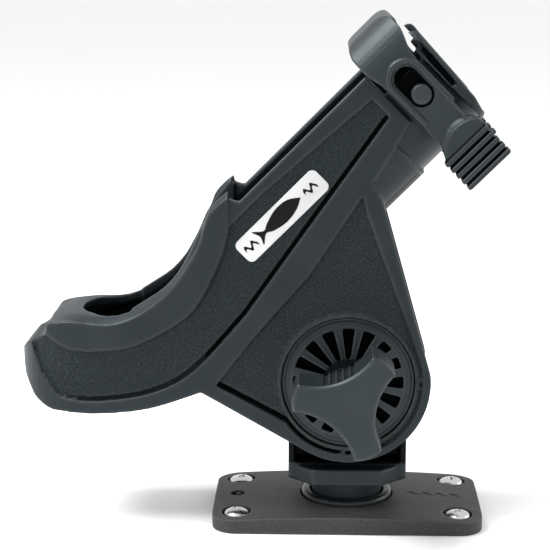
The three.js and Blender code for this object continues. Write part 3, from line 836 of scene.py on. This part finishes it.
@dataclass
class HolderBody:
    """The channel, the rear cradle with its collar, the side plates, the neck and the front flange."""

    finishes: Finishes
    pivot: float
    half: float = 24.3
    inner: float = 20.5
    thin: float = 19.5
    thick: float = 16.8
    recess: float = 1.3
    axis: float = 61.0
    outer: float = 24.4
    neck: float = 23.0
    neck_start: float = 79.5
    front: float = 90.5
    top: float = 82.3
    lobe: float = 33.0
    rim: float = 29.7
    boss: float = 28.2
    disc: float = 26.7
    gate_from: float = 110.8
    gate_to: float = 117.0
    sweep: float = 15.0
    rear: float = -133.6
    collar_rear: float = -121.4
    room_rear: float = -124.5
    shoe_corner: float = 20.0
    room_corner: float = 16.0
    cradle_front: float = -57.0
    collar_top: Outline = field(default_factory=lambda: [
        (-121.4, 22.4), (-119, 23.5), (-114, 24.3), (-109, 24.5), (-101, 23.4), (-95, 23.5), (-91, 24.3),
        (-86, 26.2), (-80.9, 29.1), (-73.7, 34.6), (-68, 40.8), (-63.7, 47.3), (-59.3, 55.3), (-56, 66.3),
        (-52.1, 71.4), (-47.8, 75.0)])
    collar_foot: Outline = field(default_factory=lambda: [
        (-121.4, 18.6), (-118.5, 16.9), (-114.5, 14.8), (-109.7, 13.5), (-99.3, 13.2), (-86.6, 14.8),
        (-71.8, 21.9), (-60.7, 31), (-51, 49.7), (-47.6, 63)])
    heel: Outline = field(default_factory=lambda: [
        (-121.6, 18.6), (-124, 17), (-127.3, 15), (-129.2, 14.2), (-133.6, 9.0), (-131.8, -0.3)])
    sole: Outline = field(default_factory=lambda: [
        (-127, -8.2), (-120.7, -12.1), (-113, -13), (-99.9, -13.5), (-79.8, -11.2), (-58.9, -4.3)])

    shoe_room: Outline = field(default_factory=lambda: [
        (-123.6, 30), (-123.6, 16), (-117.6, -6), (-113, -8.4), (-100, -10), (-79.8, -7.8), (-57, 0.3),
        (-57, 80)])
    pocket_line: Outline = field(default_factory=lambda: [
        (112.0, 78.0), (114.3, 77.0), (113.3, 57.8), (112.4, 55.6), (111.5, 56.8)])

    def plate_outline(self) -> Outline:
        """The side plates' whole outline."""
        ear = along(18.4, 86.8)
        return [
            *self.heel, *curve(self.sole, 6),
            *arc(0, 0, self.lobe, 242, 366, 40),
            along(60.5, 41.7), along(63.9, 50.9), along(self.front, 57.7),
            along(self.front, self.top), along(21, self.top), ear,
            *curve(self.collar_top[::-1], 4)[1:-1],
        ]

    @staticmethod
    def shoe_plan(rear: float, half: float, corner: float, steps: int = 12) -> Outline:
        """A plan with straight sides and a round rear end."""
        start = rear + corner * 1.5
        side = [(start, half), (rear + 1, half), (rear, 0)]
        bend = []
        for i in range(steps + 1):
            t = i / steps
            bend.append(tuple((1 - t) ** 2 * a + 2 * t * (1 - t) * b + t * t * c for a, b, c in zip(*side)))
        return [(60, -half), (60, half), *bend, *[(x, -y) for x, y in reversed(bend[:-1])]]

    @staticmethod
    def height_at(line: Outline, x: float) -> float:
        """The height of a line that runs along x, at one place."""
        for (ax, az), (bx, bz) in zip(line, line[1:]):
            if x <= bx:
                return az + (bz - az) * max(0.0, (x - ax) / (bx - ax))
        return line[-1][1]

    def collar(self) -> bpy.types.Object:
        """The band round the cradle, whose top rises inwards to the opening's edge."""
        front = -47.6
        top, foot = curve(self.collar_top, 5), curve(self.collar_foot, 5)

        def ring(inset: float, lift: float, line: Outline) -> list[Corner]:
            """The collar's plan, drawn in and set at its own height all round."""
            half = self.half + 1.2 - inset
            corner = min(18 - inset * 0.6, half - 0.5)
            bend = self.shoe_plan(self.collar_rear + inset, half, corner, 24)[2:]
            start = bend[0][0]
            side = [(front + (start - front) * i / 40, half) for i in range(40)]
            corners = []
            for x, y in [*side, *bend, *[(x, -y) for x, y in reversed(side)]]:
                slope = min(1.0, max(0.0, (x + 116) / 14))
                corners.append((x, y, self.height_at(line, x) + lift * (0.3 + 0.7 * slope)))
            return corners

        rise = ((0.0, 0.0), (1.6, 0.9), (3.2, 1.8), (5.2, 2.5), (9, 2.6), (13, 2.6), (17, 2.6), (20, 2.6))
        return loft([ring(0.4, -0.3, foot), *[ring(inset, lift, top) for inset, lift in rise]])

    def upper_panel(self) -> Outline:
        """The sunk panel beside the channel and round the shoe."""
        lower = curve([(-40.9, 27.6), (-62, 4.3), (-79.7, -5), (-99.7, -8.2), (-110, -7.8),
                       (-116.8, -6.4)], 5)
        rear = [(-123.6, 2.5), (-127.0, 11.5), (-127.9, 15.2), (-124.5, 16.8)]
        upper = curve([(-121.0, 18.2), (-118.2, 16.2), (-114.2, 14.1), (-109.7, 12.7), (-99.3, 12.4),
                       (-86.6, 14.0), (-71.8, 21.1), (-60.3, 30.5), (-50.4, 49.4), (-46.8, 63.5)], 5)
        return [along(86, 74.4), along(86, 64.8), (-16, 63.1), *lower, *rear, *upper, (-34.3, 76.1)]

    def wedge_panel(self) -> Outline:
        """The sunk panel in the wedge above the tilt boss."""
        return [(5.1, 75.7), (-15.9, 43.4), (-38.1, 17.7), (-52.9, -1.4), *arc(0, 0, self.rim, 214, 375, 40),
                (21.6, 28), (7.1, 67.4)]

    def room(self, radius: float) -> Outline:
        """Section of the channel's inside, out of its open top."""
        return [(radius, 140), (-radius, 140), *arc(0, self.axis, radius, 180, 360, 40)]

    def tube(self, radius: float, wall: float) -> Outline:
        """Section of the channel's outside, up to a wall height."""
        return [(radius, wall), (-radius, wall), *arc(0, self.axis, radius, 180, 360, 48)]

    def gate(self) -> Outline:
        """Section of the front flange."""
        half, corner = 24.9, 12.0
        return [(half, 84.5), (-half, 84.5), *arc(-half + corner, 50, corner, 180, 270, 10),
                *arc(half - corner, 50, corner, 270, 360, 10)]

    def swept(self) -> bpy.types.Object:
        """The space that the locking ring leaves free as it swings over the flange."""
        bend, flat, reach, steps = 12.0, 13.2, 25.2, 32
        profile = []
        for i in range(steps + 1):
            y = reach * (2 * i / steps - 1)
            past = max(0.0, abs(y) - flat)
            profile.append((self.sweep + math.sqrt(bend ** 2 - past ** 2), y))
        return turned(profile, Run.SIDEWAYS, 96, PIN_U, PIN_V)

    def flange(self) -> bpy.types.Object:
        """The front flange: it leans back downwards, with two bars on top and a pocket in each side."""
        side = [(self.gate_from, 30), (112.6, 30), (113.2, 41), (114.7, 47), (116.4, 80), (116.4, 95),
                (113.5, 95), (113.5, 70.5), (self.gate_from, 70.5)]
        mould = Mould(prism(self.gate(), Run.FORWARDS, self.gate_from, self.gate_to))
        mould.keep(prism(side, Run.SIDEWAYS, -40, 40))
        cheek = [(20.3, 69), (24.2, 69), (24.2, 70.5), (23.1, 73.2), (21.4, 76), (20.7, 76.8), (20.3, 76.8)]
        for flip in (1, -1):
            mould.add(prism([(flip * y, v) for y, v in cheek], Run.FORWARDS, self.gate_from, 114))
        for u, v, reach in ((115.3, 83.0, 19.5), (115.2, 79.4, 23.6)):
            bar = [(0.6, -reach - 0.9), (1.4, -reach), (1.4, reach), (0.6, reach + 0.9)]
            mould.add(turned(bar, Run.SIDEWAYS, 24, u, v))
        mould.keep(self.swept())
        for hand in Side:
            pocket = [(112.0, 78.4), (114.5, 77.2), (113.5, 57.6), (112.4, 55.2), (111.3, 56.5)]
            mould.cut(on_side(pocket, hand, 22.9, 30))
        return sloped(mould.piece)

    def opening(self) -> Outline:
        """The rear cradle's opening in plan."""
        side = curve([(-88, self.inner - 0.7), (-97, 18.2), (-104.5, 12.5), (-108, 5), (-108.4, 0)], 6)
        far_side = [(x, -y) for x, y in reversed(side[:-1])]
        return [(-50, self.inner), *side, *far_side, (-50, -self.inner)]

    def hollow_line(self) -> Outline:
        """The room between the side plates, open downwards."""
        return [(-54, -40), (-54, 0), (-52, 6), along(78, 40), along(78, -20), (50, -40)]

    def shell(self) -> Mould:
        """The side plates with their sunk panels, the collar, the channel's tube, the neck and the flange."""
        half, sunk, plate, panels = self.half, self.sunk, self.plate_outline(), self.panels
        mould = Mould(prism(plate, Run.SIDEWAYS, -half, half))
        mould.keep(prism(self.shoe_plan(self.rear, half, self.shoe_corner), Run.UPWARDS, -60, 160))
        mould.cut(*[prism(panel, Run.SIDEWAYS, -FAR, FAR) for panel in panels])
        core = Mould(prism(plate, Run.SIDEWAYS, -sunk, sunk))
        core.keep(prism(self.shoe_plan(self.rear + self.recess, sunk, 19.5), Run.UPWARDS, -60, 160))
        tube = Mould(sloped(prism(self.tube(self.outer, self.axis + 2), Run.FORWARDS, 0, self.neck_start)))
        for side in Side:
            tube.cut(*[on_side(panel, side, sunk, 40) for panel in panels])
        neck = prism(self.tube(self.neck, 72), Run.FORWARDS, self.neck_start - 1, self.gate_from + 1)
        return mould.add(core.piece, self.collar(), tube.piece, sloped(neck), self.flange(),
                         rod(self.boss, Run.SIDEWAYS, -23.9, 23.9))

    def cut_grooves(self, mould: Mould) -> None:
        """Cuts a deeper groove along the lower borders of the sunk panels."""
        heel = [(-140, -20), (-118, -20), (-126, 20), (-140, 20)]
        for panel, (dx, dz) in zip(self.panels, ((-0.9, 1.5), (1.0, 1.7))):
            for side in Side:
                shifted = [(x + dx, z + dz) for x, z in panel]
                groove = Mould(on_side(panel, side, self.sunk - 1.3, 40))
                groove.cut(on_side(shifted, side, 10, FAR), rod(self.boss, Run.SIDEWAYS, -FAR, FAR),
                           prism(heel, Run.SIDEWAYS, -FAR, FAR))
                mould.cut(groove.piece)

    def cut_rooms(self, mould: Mould) -> None:
        """Cuts the room between the plates, the channel, the shoe and the cradle's mouth."""
        line = self.hollow_line()
        hollow = Mould(prism(line, Run.SIDEWAYS, -self.thin, self.thin))
        hollow.cut(rod(self.lobe + 4, Run.SIDEWAYS, -self.half, self.half))
        hollow.add(prism(line, Run.SIDEWAYS, -self.thick, self.thick))
        hollow.cut(sloped(prism(self.tube(self.outer, 100), Run.FORWARDS, -70, 140)))
        mould.cut(hollow.piece)

        channel = Mould(sloped(prism(self.room(self.inner), Run.FORWARDS, -60, self.gate_to + 5)))
        ahead = self.cradle_front - 1
        channel.keep(prism([(ahead, -300), (ahead + 400, -300), (ahead + 400, 300), (ahead, 300)],
                           Run.SIDEWAYS, -100, 100))
        shoe = [(-123, 15), (-117, -5.5), (-113, -7.8), (-100, -9.4), (-79.8, -7.2), (-56, 0.9), (-56, 31),
                (-108, 18.5)]
        room = Mould(prism(shoe, Run.SIDEWAYS, -self.inner, self.inner))
        room.keep(prism(self.shoe_plan(self.room_rear, self.inner, self.room_corner), Run.UPWARDS, -60, 160))
        mouth = Mould(prism(self.opening(), Run.UPWARDS, 5, 160))
        above = [(-150, 5), (self.cradle_front, 5), (-30, 60), (-30, 160), (-150, 160)]
        mouth.keep(prism(above, Run.SIDEWAYS, -FAR, FAR))
        mould.cut(channel.piece, room.piece, mouth.piece)

    def finish_sides(self, mould: Mould) -> None:
        """Adds the rounded inner lips, and cuts the disc pockets and the bores."""
        ridge = curve([(-86.6, 29.0), (-81.3, 32.4), (-74, 37.4), (-68.3, 43.6), (-64.6, 49.8), (-61.7, 55.6),
                       (-58.8, 62.2), (-53.9, 69.6), (-49, 75.2)], 5)
        under = curve([(-47.6, 64), (-52, 58), (-57, 50), (-63, 40), (-71.6, 30), (-86.6, 21.5)], 5)
        for side in Side:
            for reach, drop in ((19.5, 0.0), (20.5, 0.25), (21.5, 0.9), (22.3, 1.9)):
                lip = [(x, z - drop) for x, z in ridge]
                mould.add(on_side([*lip, (-47.6, 73.5), *under], side, 18.4, reach))
            mould.cut(rod(self.disc, Run.SIDEWAYS, *sorted((side.value * 18.8, side.value * 40))))
        mould.cut(rod(24.5, Run.SIDEWAYS, -40, 40),
                  sloped(rod(2.7, Run.SIDEWAYS, -40, 40, PIN_U, PIN_V, 32)))

    def grainy(self, spot: Vector) -> float:
        """Sandy on the sunk panels only."""
        reach, flat = abs(spot.y), (spot.x, spot.z)
        if inside((spot.x, spot.y), self.room_plan) or (spot.x > -100 and reach < self.inner + 1):
            return 0.0
        if reach > self.half - 0.4:
            return 0.0
        return 1.0 if self.on_panel(flat) else 0.0

    def gloomy(self, spot: Vector) -> float:
        """Painted shade inside the channel, the shoe, the grooves and the room between the plates."""
        reach, flat, deep = abs(spot.y), (spot.x, spot.z), 0.8
        if spot.x < self.cradle_front:
            low = spot.z < self.height_at(self.collar_top, spot.x) - 0.5
            within = inside((spot.x, spot.y), self.room_plan) and inside(flat, self.shoe_room)
            return deep if low and within else 0.0
        if self.half - 3.3 < reach < self.sunk - 0.45 and self.on_panel(flat):
            return 1.0
        u, v = (spot.x + spot.z) * math.sqrt(0.5), (spot.z - spot.x) * math.sqrt(0.5)
        past_pin = math.hypot(u - PIN_U, v - min(max(v, PIN_V), PIN_V + PIN_TRAVEL))
        in_pocket = u > 111 and 22.4 < reach < 24.6 and inside((u, v), self.pocket_line)
        if past_pin < 5.2 or in_pocket:
            return 1.0
        in_round = math.hypot(reach, min(v, self.axis) - self.axis) < self.inner + 0.6
        if in_round and v < self.top - 1.5 and u < 112:
            return deep
        return deep if reach < self.thin + 0.3 and inside(flat, self.hollow_line()) else 0.0

    def on_panel(self, flat: Point) -> bool:
        """Whether a point of the side plane lies on a sunk panel."""
        return any(inside(flat, panel) for panel in self.panels)

    def build(self) -> bpy.types.Object:
        """Builds the body, paints its panels with grain and paints shade into its hollows."""
        self.sunk = self.half - self.recess
        self.panels = (self.upper_panel(), self.wedge_panel())
        self.room_plan = self.shoe_plan(self.room_rear - 0.4, self.inner + 0.4, self.room_corner)
        mould = self.shell()
        self.cut_grooves(mould)
        self.cut_rooms(mould)
        self.finish_sides(mould)
        piece = mould.round_off(0.62, 3)
        paint(piece, self.grainy, self.gloomy)
        moved(piece, z=self.pivot)
        return dress(piece, "cradle_moulding", self.finishes.shell, "holder", "nylon", "holder_body",
                     "rear_cradle", "front_tube")


@dataclass
class TiltClamp:
    """The slotted discs, the bolt and its washers, and the three-lobed knob."""

    finishes: Finishes
    pivot: float
    disc: float = 26.4
    disc_hub: float = 24.2
    face: float = 22.2
    step: float = 19.1
    back: float = 16.9
    slots: int = 16
    slot_inner: float = 9.5
    slot_outer: float = 22.0
    knob_face: float = 58.0
    knob_back: float = 39.0
    knob_foot: float = 24.4
    lobe: float = 21.6
    spread: float = 15.0
    hollow: float = 37.1
    first_lobe: float = 50.7
    grooves: int = 5

    def slotted_disc(self, side: Side) -> bpy.types.Object:
        """One disc with its ring of tapered slots."""
        def across(near: float, far: float) -> list[float]:
            """Two distances from the middle plane, as a low and a high y."""
            return sorted((side.value * near, side.value * far))

        mould = Mould(rod(self.disc, Run.SIDEWAYS, *across(self.step, self.face), segments=120))
        mould.add(rod(self.disc_hub, Run.SIDEWAYS, *across(self.back, self.step + 0.5), segments=96))
        root, tip = self.slot_inner, self.slot_outer
        slot = [(root, -0.9), (tip - 0.6, -2.5), (tip, -2.0), (tip, 2.0), (tip - 0.6, 2.5), (root, 0.9)]
        for i in range(self.slots):
            tool = on_side(slot, side, self.face - 4.9, self.face + 2)
            tool.data.transform(Matrix.Rotation(math.radians(i * 360 / self.slots), 4, "Y"))
            mould.cut(tool)
        mould.cut(rod(5.0, Run.SIDEWAYS, -40, 40, segments=48))
        ring = Mould(rod(self.disc - 0.9, Run.SIDEWAYS, *across(self.face - 0.45, 30), segments=120))
        ring.cut(rod(23.2, Run.SIDEWAYS, -40, 40, segments=120))
        mould.cut(ring.piece)
        piece = mould.round_off(0.38, 2)
        # Painted shade deep in the slots.
        paint(piece, gloomy=lambda spot: 1.0 if abs(spot.y) < self.face - 1.0 else 0.0)
        moved(piece, z=self.pivot)
        name = side.name.lower()
        return dress(piece, f"slotted_disc_{name}", self.finishes.nylon, "holder", "nylon",
                     f"clamp_disc_{name}")

    @property
    def waist_radius(self) -> float:
        """The radius of the knob's hollow sides."""
        turn = math.radians(60 - self.spread)
        return math.sqrt(self.hollow ** 2 + self.lobe ** 2 - 2 * self.hollow * self.lobe * math.cos(turn))

    def knob_outline(self, inset: float) -> Outline:
        """The knob's three-lobed outline, drawn in by an inset."""
        lobe = self.lobe - inset
        reach = self.waist_radius + inset
        outline: Outline = []
        for i in range(3):
            middle = self.first_lobe + i * 120
            for turn in (-self.spread, -self.spread * 0.55, 0, self.spread * 0.55, self.spread):
                swell = lobe + 0.5 * (1 - (turn / self.spread) ** 2)
                a = math.radians(middle + turn)
                outline.append((swell * math.cos(a), swell * math.sin(a)))
            between = math.radians(middle + 60)
            cx, cz = self.hollow * math.cos(between), self.hollow * math.sin(between)
            from_a = math.radians(middle + self.spread)
            start = math.atan2(self.lobe * math.sin(from_a) - cz, self.lobe * math.cos(from_a) - cx)
            opposite = between + math.pi
            half_turn = (start - opposite + math.pi) % (2 * math.pi) - math.pi
            steps = 22
            for k in range(1, steps):
                a = opposite + half_turn * (1 - 2 * k / steps)
                outline.append((cx + reach * math.cos(a), cz + reach * math.sin(a)))
        return outline

    def knob(self) -> bpy.types.Object:
        """The clamp knob with grip grooves in its hollow sides."""
        layers = [(1.0, -self.knob_face), (0.0, -self.knob_face + 1.0), (0.0, -self.knob_back - 0.9),
                  (0.9, -self.knob_back)]
        mould = Mould(loft([[(x, y, z) for x, z in self.knob_outline(inset)] for inset, y in layers]))
        hub = [(10.5, -self.knob_back - 2), (10.5, -self.knob_foot - 0.8), (9.8, -self.knob_foot)]
        mould.add(turned(hub, Run.SIDEWAYS, 72))
        mould.cut(rod(7.3, Run.SIDEWAYS, -54.3, 0, segments=48))
        middle = (self.grooves - 1) / 2
        groove = [(0.3, -self.knob_face + 1.7), (1.05, -self.knob_face + 2.6), (1.05, -self.knob_back + 1)]
        radius = self.waist_radius + 0.15
        for i in range(3):
            between = math.radians(self.first_lobe + i * 120 + 60)
            cx, cz = self.hollow * math.cos(between), self.hollow * math.sin(between)
            for k in range(self.grooves):
                a = between + math.pi + math.radians((k - middle) * 5.9)
                x, z = cx + radius * math.cos(a), cz + radius * math.sin(a)
                mould.cut(turned(groove, Run.SIDEWAYS, 20, x, z))
        piece = mould.round_off(0.34, 2)
        # Painted shade on the knob's back face and hub, behind the lobes.
        paint(piece, gloomy=lambda spot: 0.9 if spot.y > -self.knob_back + 0.4 else 0.0)
        moved(piece, z=self.pivot)
        return dress(piece, "three_lobe_knob", self.finishes.nylon, "knob", "nylon", "clamp_knob")

    def insert(self) -> bpy.types.Object:
        """The knob's brass insert."""
        mould = Mould(turned([(6.4, -54), (7, -53.4), (7, -25.3), (6.4, -24.7)], Run.SIDEWAYS, 64))
        mould.cut(turned([(5.6, -60), (4.95, -53), (4.95, -25.6), (5.6, -20)], Run.SIDEWAYS, 48))
        piece = mould.piece
        moved(piece, z=self.pivot)
        sharp_shade(piece, 30)
        return dress(piece, "threaded_insert", self.finishes.brass, "knob", "brass", "knob_insert")

    def bolt(self) -> bpy.types.Object:
        """The tilt bolt with its chamfered hexagon head."""
        mould = Mould(prism(arc(0, 0, 7.5, 0, 360, 6)[:-1], Run.SIDEWAYS, 24.4, 30.4))
        mould.keep(turned([(7.5, 24), (7.5, 29.5), (6.2, 30.4), (6.1, 31)], Run.SIDEWAYS, 72))
        mould.add(turned([(3.9, -52), (4.6, -51.2), (4.6, 25)], Run.SIDEWAYS, 56))
        piece = mould.crisp(0.18, 2, 25)
        moved(piece, z=self.pivot)
        sharp_shade(piece, 25)
        return dress(piece, "hexagon_bolt", self.finishes.steel, "holder", "steel", "tilt_bolt")

    def washer(self, side: Side) -> bpy.types.Object:
        """One plain washer with softened edges."""
        low, high = sorted((side.value * 22.5, side.value * 24.1))
        profile = [(10.7, low), (11, low + 0.3), (11, high - 0.3), (10.7, high)]
        mould = Mould(turned(profile, Run.SIDEWAYS, 72)).cut(rod(5.0, Run.SIDEWAYS, -40, 40, segments=48))
        piece = mould.piece
        near = side is Side.RIGHT
        if near:
            piece.data.transform(Matrix.Diagonal((0.8, 1.0, 0.8, 1.0)))
        moved(piece, z=self.pivot)
        sharp_shade(piece, 50)
        if near:
            return dress(piece, "washer_under_knob", self.finishes.gloss, "knob_slide", "nylon_gloss",
                         "knob_washer")
        return dress(piece, "washer_under_bolt", self.finishes.steel, "holder", "steel", "bolt_washer")

    def build(self) -> None:
        """Builds the whole clamp."""
        for side in Side:
            self.slotted_disc(side)
            self.washer(side)
        self.knob()
        self.insert()
        self.bolt()


@dataclass
class LockingRing:
    """The bail over the channel's front end, with its pins."""

    finishes: Finishes
    pivot: float
    start: float = 90.9
    end: float = 112.9
    inner: float = 25.2
    outer: float = 29.2
    under_cap: float = 90.4
    over_cap: float = 95.0
    corner: float = 16.0
    slot: float = 4.6
    foot: float = 34.0
    tab_top: float = 38.0
    tab_foot: float = 23.6
    tab_out: float = 33.2
    ribs: int = 5

    @property
    def pitch(self) -> float:
        """The distance from one of the tab's ribs to the next."""
        return (self.tab_top - self.tab_foot + 0.8) / self.ribs

    def bail(self) -> Outline:
        """The bail's section across the rod."""
        o, i, c = self.outer, self.inner, self.corner
        n = c - (o - i)
        outside = [(o, self.foot), *arc(o - c, self.over_cap - c, c, 0, 90, 12),
                   *arc(c - o, self.over_cap - c, c, 90, 180, 12), (-o, self.foot)]
        within = [(-i, self.foot), *arc(-i + n, self.under_cap - n, n, 180, 90, 12),
                  *arc(i - n, self.under_cap - n, n, 90, 0, 12), (i, self.foot)]
        return outside + within

    def arch(self, half: float, foot: float) -> Outline:
        """A slot outline with a round top."""
        bend = arc(PIN_U, PIN_V + PIN_TRAVEL, half, 0, 180, 20)
        return [(PIN_U + half, foot), *bend, (PIN_U - half, foot)]

    def thumb_tab(self, side: Side) -> list[bpy.types.Object]:
        """The tab's shield, which swells out towards its foot, and its ribs."""
        u0, u1 = 88.6, 110.5
        parts = []
        for drop, reach in ((0.0, 30.0), (0.7, 30.7), (1.8, 31.3)):
            dome = [(92.7, 43.6), (97, 45.7), (101.3, 46.5), (105.9, 45.7), (109.2, 43.6), (110.6, 40.6)]
            shield = [(u0 + 1, self.tab_foot), (u0 + 1, 37.5), *curve([(u, v - drop) for u, v in dome], 4),
                      (u1 - 1, 36), (u1 - 1, self.tab_foot)]
            parts.append(on_side(shield, side, self.inner, reach))
        thick = self.pitch - 1.1
        for i in range(self.ribs):
            middle = self.tab_foot + i * self.pitch + thick / 2
            bar = rounded_box(u1 - u0, thick, 0.8, (u0 + u1) / 2, middle, 5)
            parts.append(on_side(bar, side, self.inner, self.tab_out - 0.2 * i))
        return parts

    def profile(self) -> Outline:
        """The bail from the side: a domed cap on narrower arms."""
        return [*curve([(92.4, 76.0), (90.6, 84), (90.8, 89.6), (92.3, 93.4), (95, 94.8), (103, 95.3),
                        (109, 94.7), (112.0, 93.3), (112.9, 90.9), (112.8, 86.5), (110.2, 79.8),
                        (109.1, 75), (107.8, 58)], 6),
                (107.4, 44), (107.4, 20), (92.5, 20), (92.5, 58)]

    def ring(self) -> bpy.types.Object:
        """The bail itself."""
        mould = Mould(prism(self.bail(), Run.FORWARDS, self.start, self.end))
        mould.keep(prism(self.profile(), Run.SIDEWAYS, -40, 40))
        slot = [*arc(PIN_U, PIN_V + PIN_TRAVEL, self.slot, 0, 180, 20),
                *arc(PIN_U, PIN_V, self.slot, 180, 360, 20)]
        for side in Side:
            rim = Mould(on_side(self.arch(7.9, 53), side, self.outer - 1, self.outer + 1.0))
            rim.cut(on_side(self.arch(5.9, 48), side, self.outer, self.outer + 6))
            rim.add(*self.legs(side))
            mould.add(rim.piece, *self.thumb_tab(side))
            mould.cut(on_side(slot, side, self.inner - 2, self.outer + 6))
        piece = mould.round_off(0.4, 2)

        def gloomy(spot: Vector) -> float:
            """Painted shade in the slots and between the tab's ribs."""
            reach = abs(spot.y)
            if spot.z < self.tab_top + 0.6 and reach > self.inner + 1:
                past_rib = (spot.z - self.tab_foot) % self.pitch > self.pitch - 1.5
                return 1.0 if past_rib and reach < self.tab_out - 0.95 else 0.0
            v = min(max(spot.z, PIN_V), PIN_V + PIN_TRAVEL)
            near = math.hypot(spot.x - PIN_U, spot.z - v)
            return 1.0 if near < self.slot + 0.35 and reach < self.outer + 0.2 else 0.0

        paint(piece, gloomy=gloomy)
        sloped(piece)
        moved(piece, z=self.pivot)
        return dress(piece, "locking_bail", self.finishes.nylon, "ring", "nylon", "locking_ring")

    def legs(self, side: Side) -> list[bpy.types.Object]:
        """The two straight legs that carry the slot's rim on down the arm."""
        left = [(93.1, 53), (95.1, 53), (95.1, 72), (93.1, 72)]
        right = [(106.2, 45), (107.4, 45), (108.9, 72), (106.9, 72)]
        return [on_side(leg, side, self.outer - 1, self.outer + 1.0) for leg in (left, right)]

    def pin(self, side: Side) -> bpy.types.Object:
        """One pivot pin with a softly domed head."""
        outline = [(2.4, 20.9), (2.4, 23.3), (4.0, 23.3), (4.0, 28.6), (3.75, 29.05), (3.2, 29.3),
                   (2.0, 29.4)]
        profile = [(r, side.value * y) for r, y in outline]
        piece = sloped(turned(profile, Run.SIDEWAYS, 56, PIN_U, PIN_V))
        moved(piece, z=self.pivot)
        paint(piece)
        sharp_shade(piece, 50)
        name = side.name.lower()
        return dress(piece, f"pin_head_{name}", self.finishes.nylon, "ring_pins", "nylon",
                     f"pivot_pin_{name}")

    def build(self) -> None:
        """Builds the ring and both pins."""
        self.ring()
        for side in Side:
            self.pin(side)


@dataclass
class Badge:
    """The foil badge on each side, with a fish between two waves."""

    finishes: Finishes
    pivot: float
    u: float = 29.0
    v: float = 66.5
    length: float = 44.0
    height: float = 10.5
    corner: float = 2.5
    back: float = 23.05
    face: float = 23.65

    def plate(self, side: Side) -> bpy.types.Object:
        """The bright plate."""
        mould = Mould(on_side(rounded_box(self.length, self.height, self.corner, self.u, self.v), side,
                              self.back, self.face))
        piece = sloped(mould.crisp(0.2, 3, 40))
        moved(piece, z=self.pivot)
        sharp_shade(piece, 60)
        name = side.name.lower()
        return dress(piece, f"badge_plate_{name}", self.finishes.foil, "holder", "foil", f"badge_{name}")

    def emblem(self, side: Side) -> None:
        """The dark fish and waves on the plate."""
        fish = curve([(10.5, 0.0), (6.0, 3.0), (0.0, 3.6), (-6.0, 2.0), (-9.2, 0.7), (-12.9, 3.6),
                      (-11.8, 0.0), (-12.9, -3.3), (-9.2, -0.7), (-6.0, -2.1), (0.0, -3.2), (6.0, -2.3),
                      (10.5, 0.0)], 5)[:-1]
        prints = {"fish": [(self.u + a, self.v + 0.2 + b) for a, b in fish]}
        for index, start in enumerate((12.6, -20.0)):
            line = [(self.u + start + i * 0.4, self.v + math.sin(i * 0.72) * 1.1) for i in range(16)]
            prints[f"wave_{index}"] = [*[(a, b + 0.75) for a, b in line],
                                       *[(a, b - 0.75) for a, b in reversed(line)]]
        for label, outline in prints.items():
            piece = sloped(on_side(outline, side, self.face - 0.1, self.face + 0.12))
            moved(piece, z=self.pivot)
            sharp_shade(piece, 40)
            dress(piece, f"badge_{label}_{side.name.lower()}", self.finishes.ink, "holder", "foil")

    def build(self) -> None:
        """Builds both badges."""
        for side in Side:
            self.plate(side)
            self.emblem(side)


# ---- studio --------------------------------------------------------------------------------


@dataclass
class Studio:
    """The pale floor, the soft lights and the camera."""

    eye: Corner = (-8.9, -678.8, 245.1)
    forward: Corner = (-0.0303, 0.9776, -0.2085)
    lens: float = 111.3

    def floor(self) -> None:
        """A wide floor that the object stands on."""
        bpy.ops.mesh.primitive_plane_add(size=12, location=(0, 0, -0.0002))
        plane = bpy.context.object
        plane.name = "studio_floor"
        plane.data.materials.append(StudioFloor().build())

    def light(self, name: str, place: Corner, power: float, size: float, target: Corner) -> None:
        """One soft square light.

        Args:
            name: Its name.
            place: Where it hangs, in metres.
            power: Its power in watts.
            size: Its side in metres.
            target: The point it faces.
        """
        lamp = bpy.data.lights.new(name, "AREA")
        lamp.energy = power
        lamp.size = size
        holder = bpy.data.objects.new(name, lamp)
        holder.location = place
        holder.rotation_euler = (Vector(target) - Vector(place)).to_track_quat("-Z", "Y").to_euler()
        bpy.context.scene.collection.objects.link(holder)

    def camera(self) -> None:
        """The camera, with a long lens."""
        data = bpy.data.cameras.new("camera")
        data.lens = self.lens
        data.sensor_width = 36.0
        data.clip_start = 0.01
        camera = bpy.data.objects.new("camera", data)
        camera.location = [c * MM for c in self.eye]
        camera.rotation_euler = Vector(self.forward).to_track_quat("-Z", "Y").to_euler()
        bpy.context.scene.collection.objects.link(camera)
        bpy.context.scene.camera = camera

    def build(self) -> None:
        """Sets up the whole studio."""
        self.camera()
        self.floor()
        world = bpy.data.worlds.new("studio")
        world.use_nodes = True
        background = next(n for n in world.node_tree.nodes if n.type == "BACKGROUND")
        background.inputs["Color"].default_value = (1.0, 1.0, 1.0, 1.0)
        background.inputs["Strength"].default_value = 1.0
        bpy.context.scene.world = world
        bpy.context.scene.view_settings.view_transform = "Standard"
        middle = (-0.03, 0.0, 0.1)
        self.light("top_light", (-0.55, -0.15, 0.95), 16.0, 0.5, middle)
        self.light("side_light", (1.0, 0.2, 0.5), 3.0, 0.6, middle)


def main() -> None:
    """Builds the studio and every sub-assembly in order."""
    logging.basicConfig(level=logging.INFO, format="%(name)s: %(message)s")
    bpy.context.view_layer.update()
    tilt = next(j for j in frame["joints"] if j["name"] == "holder_tilt")
    pivot = tilt["pos_m"][2] / MM
    Studio().build()
    finishes = Finishes()
    for assembly in (
        BaseMount(finishes),
        PostBracket(finishes, pivot),
        HolderBody(finishes, pivot),
        TiltClamp(finishes, pivot),
        LockingRing(finishes, pivot),
        Badge(finishes, pivot),
    ):
        LOG.info("building %s", type(assembly).__name__)
        assembly.build()


if __name__ == "__main__":
    main()
